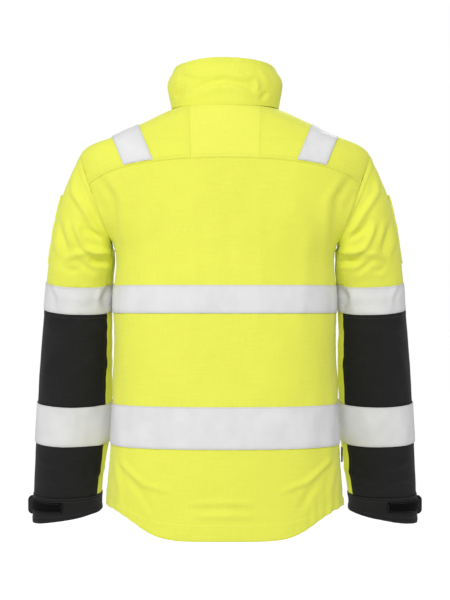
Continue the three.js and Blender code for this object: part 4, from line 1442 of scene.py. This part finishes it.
def zip_line():
    """The middle of the zip from the hem to the top of the collar, with its outward normals."""
    heights = np.linspace(HEM, NECK, 240)
    low, low_normal = body(front_angle(heights, 2.0), heights)
    rings = np.linspace(0.02, COLLAR_TOP * 0.97, 60)
    high, high_normal = collar(front_angle(rings, 2.0, collar_point), rings)
    points, normals = np.concatenate([low, high]), np.concatenate([low_normal, high_normal])
    points[:, 0] = 0
    normals[:, 0] = 0
    return points, normals / np.linalg.norm(normals, axis=1, keepdims=True)


def zip_place(points, normals):
    run = run_of(points)

    def place(x, distance):
        x, distance = np.broadcast_arrays(np.asarray(x, float), np.asarray(distance, float))
        point = np.stack([np.interp(distance, run, points[:, k]) for k in range(3)], -1)
        normal = np.stack([np.interp(distance, run, normals[:, k]) for k in range(3)], -1)
        point[..., 0] = x
        return point, normal
    return place, run[-1]


def make_zip(side, sign, place, total):
    """One tape of the zip and its row of teeth; the two rows stand half a pitch apart."""
    tape = cloth(f"zip_tape_{side}", place, (2.0, total - 1), between(*ZIP_TAPE_X), ("plain",) * 4, "zip",
                 sign, step=6, offset=-1.0, thickness=0.9, seed=71, pucker=0)
    corners = len(TOOTH)
    vertices, faces = [], []
    start = 8.0 + (TOOTH_PITCH / 2 if sign > 0 else 0)
    for distance in np.arange(start, total - 6, TOOTH_PITCH):
        (point,), (normal,) = place(np.array([0.0]), np.array([distance]))
        upward = np.array([0, -normal[2], normal[1]])
        upward *= np.sign(upward[2])
        base = len(vertices)
        for height, inset in TOOTH_LEVELS:
            for x, z in TOOTH:
                pulled = TOOTH_MIDDLE + (x - TOOTH_MIDDLE) * (TOP_LENGTH if inset < 1 else 1)
                vertices.append(point + np.array([sign * pulled, 0, 0]) + upward * z * inset + normal * height)
        for ring in (base, base + corners):
            for k in range(corners):
                n = (k + 1) % corners
                faces.append((ring + k, ring + n, ring + corners + n, ring + corners + k))
        faces.append(tuple(base + 2 * corners + k for k in range(corners)))
        faces.append(tuple(base + corners - 1 - k for k in range(corners)))
    teeth = mesh_object(f"zip_teeth_{side}", vertices, faces, (teeth_plastic,))
    recalculate(teeth)
    teeth.parent = tape
    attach(tape, f"{side}_front")
    stands_for(f"zip_{side}")


def plate(name, outline, depth, bevel, holes=()):
    """A moulded plate from an outline in x and z, its middle at y = 0, with rounded edges."""
    curve = bpy.data.curves.new(name, "CURVE")
    curve.dimensions = "2D"
    curve.fill_mode = "BOTH"
    for ring in (outline,) + tuple(holes):
        spline = curve.splines.new("POLY")
        spline.points.add(len(ring) - 1)
        for point, (x, z) in zip(spline.points, ring):
            point.co = (x * METRE, z * METRE, 0, 1)
        spline.use_cyclic_u = True
    curve.extrude = (depth / 2 - bevel) * METRE
    curve.bevel_depth = bevel * METRE
    curve.bevel_resolution = 3
    curve.offset = -bevel * METRE
    holder = link(name, curve)
    shape = bpy.context.evaluated_depsgraph_get()
    mesh = bpy.data.meshes.new_from_object(holder.evaluated_get(shape))
    bpy.data.objects.remove(holder)
    for vertex in mesh.vertices:
        x, z, y = vertex.co
        vertex.co = (x, -y, z)
    made = link(name, mesh)
    mesh.polygons.foreach_set("use_smooth", np.ones(len(mesh.polygons), dtype=bool))
    mesh.materials.clear()
    mesh.materials.append(slider_plastic)
    recalculate(made)
    return made


def arc(centre, radius, start, end, count):
    angles = np.radians(np.linspace(start, end, count))
    return [(centre[0] + radius * math.cos(a), centre[1] + radius * math.sin(a)) for a in angles]


def settle(made, place):
    """Tilts a plate to lie along the front's edge line, and moves it to its place."""
    tilt = math.atan(LEAN)
    for vertex in made.data.vertices:
        x, y, z = vertex.co
        vertex.co = (x, y * math.cos(tilt) + z * math.sin(tilt), z * math.cos(tilt) - y * math.sin(tilt))
        vertex.co += Vector(place)


def make_slider():
    """Two plates of one outline, and the bridge over the face that carries the pull.

    Each row is the name, outline, depth, bevel and how far into the jacket it sits, in metres.
    """
    low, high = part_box("zip_slider")
    middle = [(a + b) / 2 for a, b in zip(low, high)]
    outline = ([(-2.4, -7.4), (2.4, -7.4)] + arc((3.9, 3.6), 1.7, -40, 60, 7) + [(2.6, 7.2), (0.8, 6.2)]
               + [(-0.8, 6.2), (-2.6, 7.2)] + arc((-3.9, 3.6), 1.7, 120, 220, 7))
    bridge = [(-1.3, -4.6), (1.3, -4.6)] + arc((0, 4.4), 1.3, 0, 180, 9)
    for name, shape, depth, bevel, inwards in (("slider_face", outline, 1.5, 0.5, -0.0005),
                                               ("slider_back", outline, 1.2, 0.4, 0.0016),
                                               ("slider_bridge", bridge, 1.5, 0.5, -0.0016)):
        made = plate(name, shape, depth, bevel)
        settle(made, (middle[0], middle[1] + inwards, middle[2]))
        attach(made, "zip_slider")
        if name == "slider_face":
            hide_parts("zip_slider")


def make_pull():
    low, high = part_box("zip_pull")
    middle = [(a + b) / 2 for a, b in zip(low, high)]
    length = (high[2] - low[2]) / METRE
    top = length / 2 - 3.5
    outline = (arc((0, top), 3.4, 0, 180, 13) + [(-2.5, top - 8), (-3.4, top - 14)]
               + arc((0, -top), 3.4, 180, 360, 13) + [(3.4, top - 14), (2.5, top - 8)])
    eye = [(x, z) for x, z in arc((0, top), 1.5, 360, 0, 12)[:-1]]
    grip = arc((0, -top), 1.7, 360, 180, 7) + [(-1.7, top - 17)] + arc((0, top - 17), 1.7, 180, 0, 7)[1:]
    pull = plate("zip_pull_tab", outline, 2.0, 0.45, (eye, grip))
    settle(pull, middle)
    fixed(pull, "zip_pull", "zip_pull")
    insert = plate("zip_pull_insert", arc((0, -top), 1.75, 180, 360, 7) + arc((0, top - 17), 1.75, 0, 180, 7),
                   1.3, 0.3)
    settle(insert, middle)
    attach(insert, "zip_pull")


# ------------------------------------------------------------------ the whole jacket
make_back()
make_collar()
make_body_tapes()
make_badge()
make_side_tag()
make_neck_label()
make_hang_loop()
ZIP_PLACE, ZIP_LENGTH = zip_place(*zip_line())
for side, sign in SIDES:
    make_yoke_side(side, sign)
    make_front_shoulder(side, sign)
    make_side_panel(side, sign)
    make_front(side, sign)
    make_shoulder_tape(side, sign)
    make_sleeve(side, sign)
    make_pockets(side, sign)
    make_cuff_tab(side, sign)
    make_zip(side, sign, ZIP_PLACE, ZIP_LENGTH)
make_slider()
make_pull()
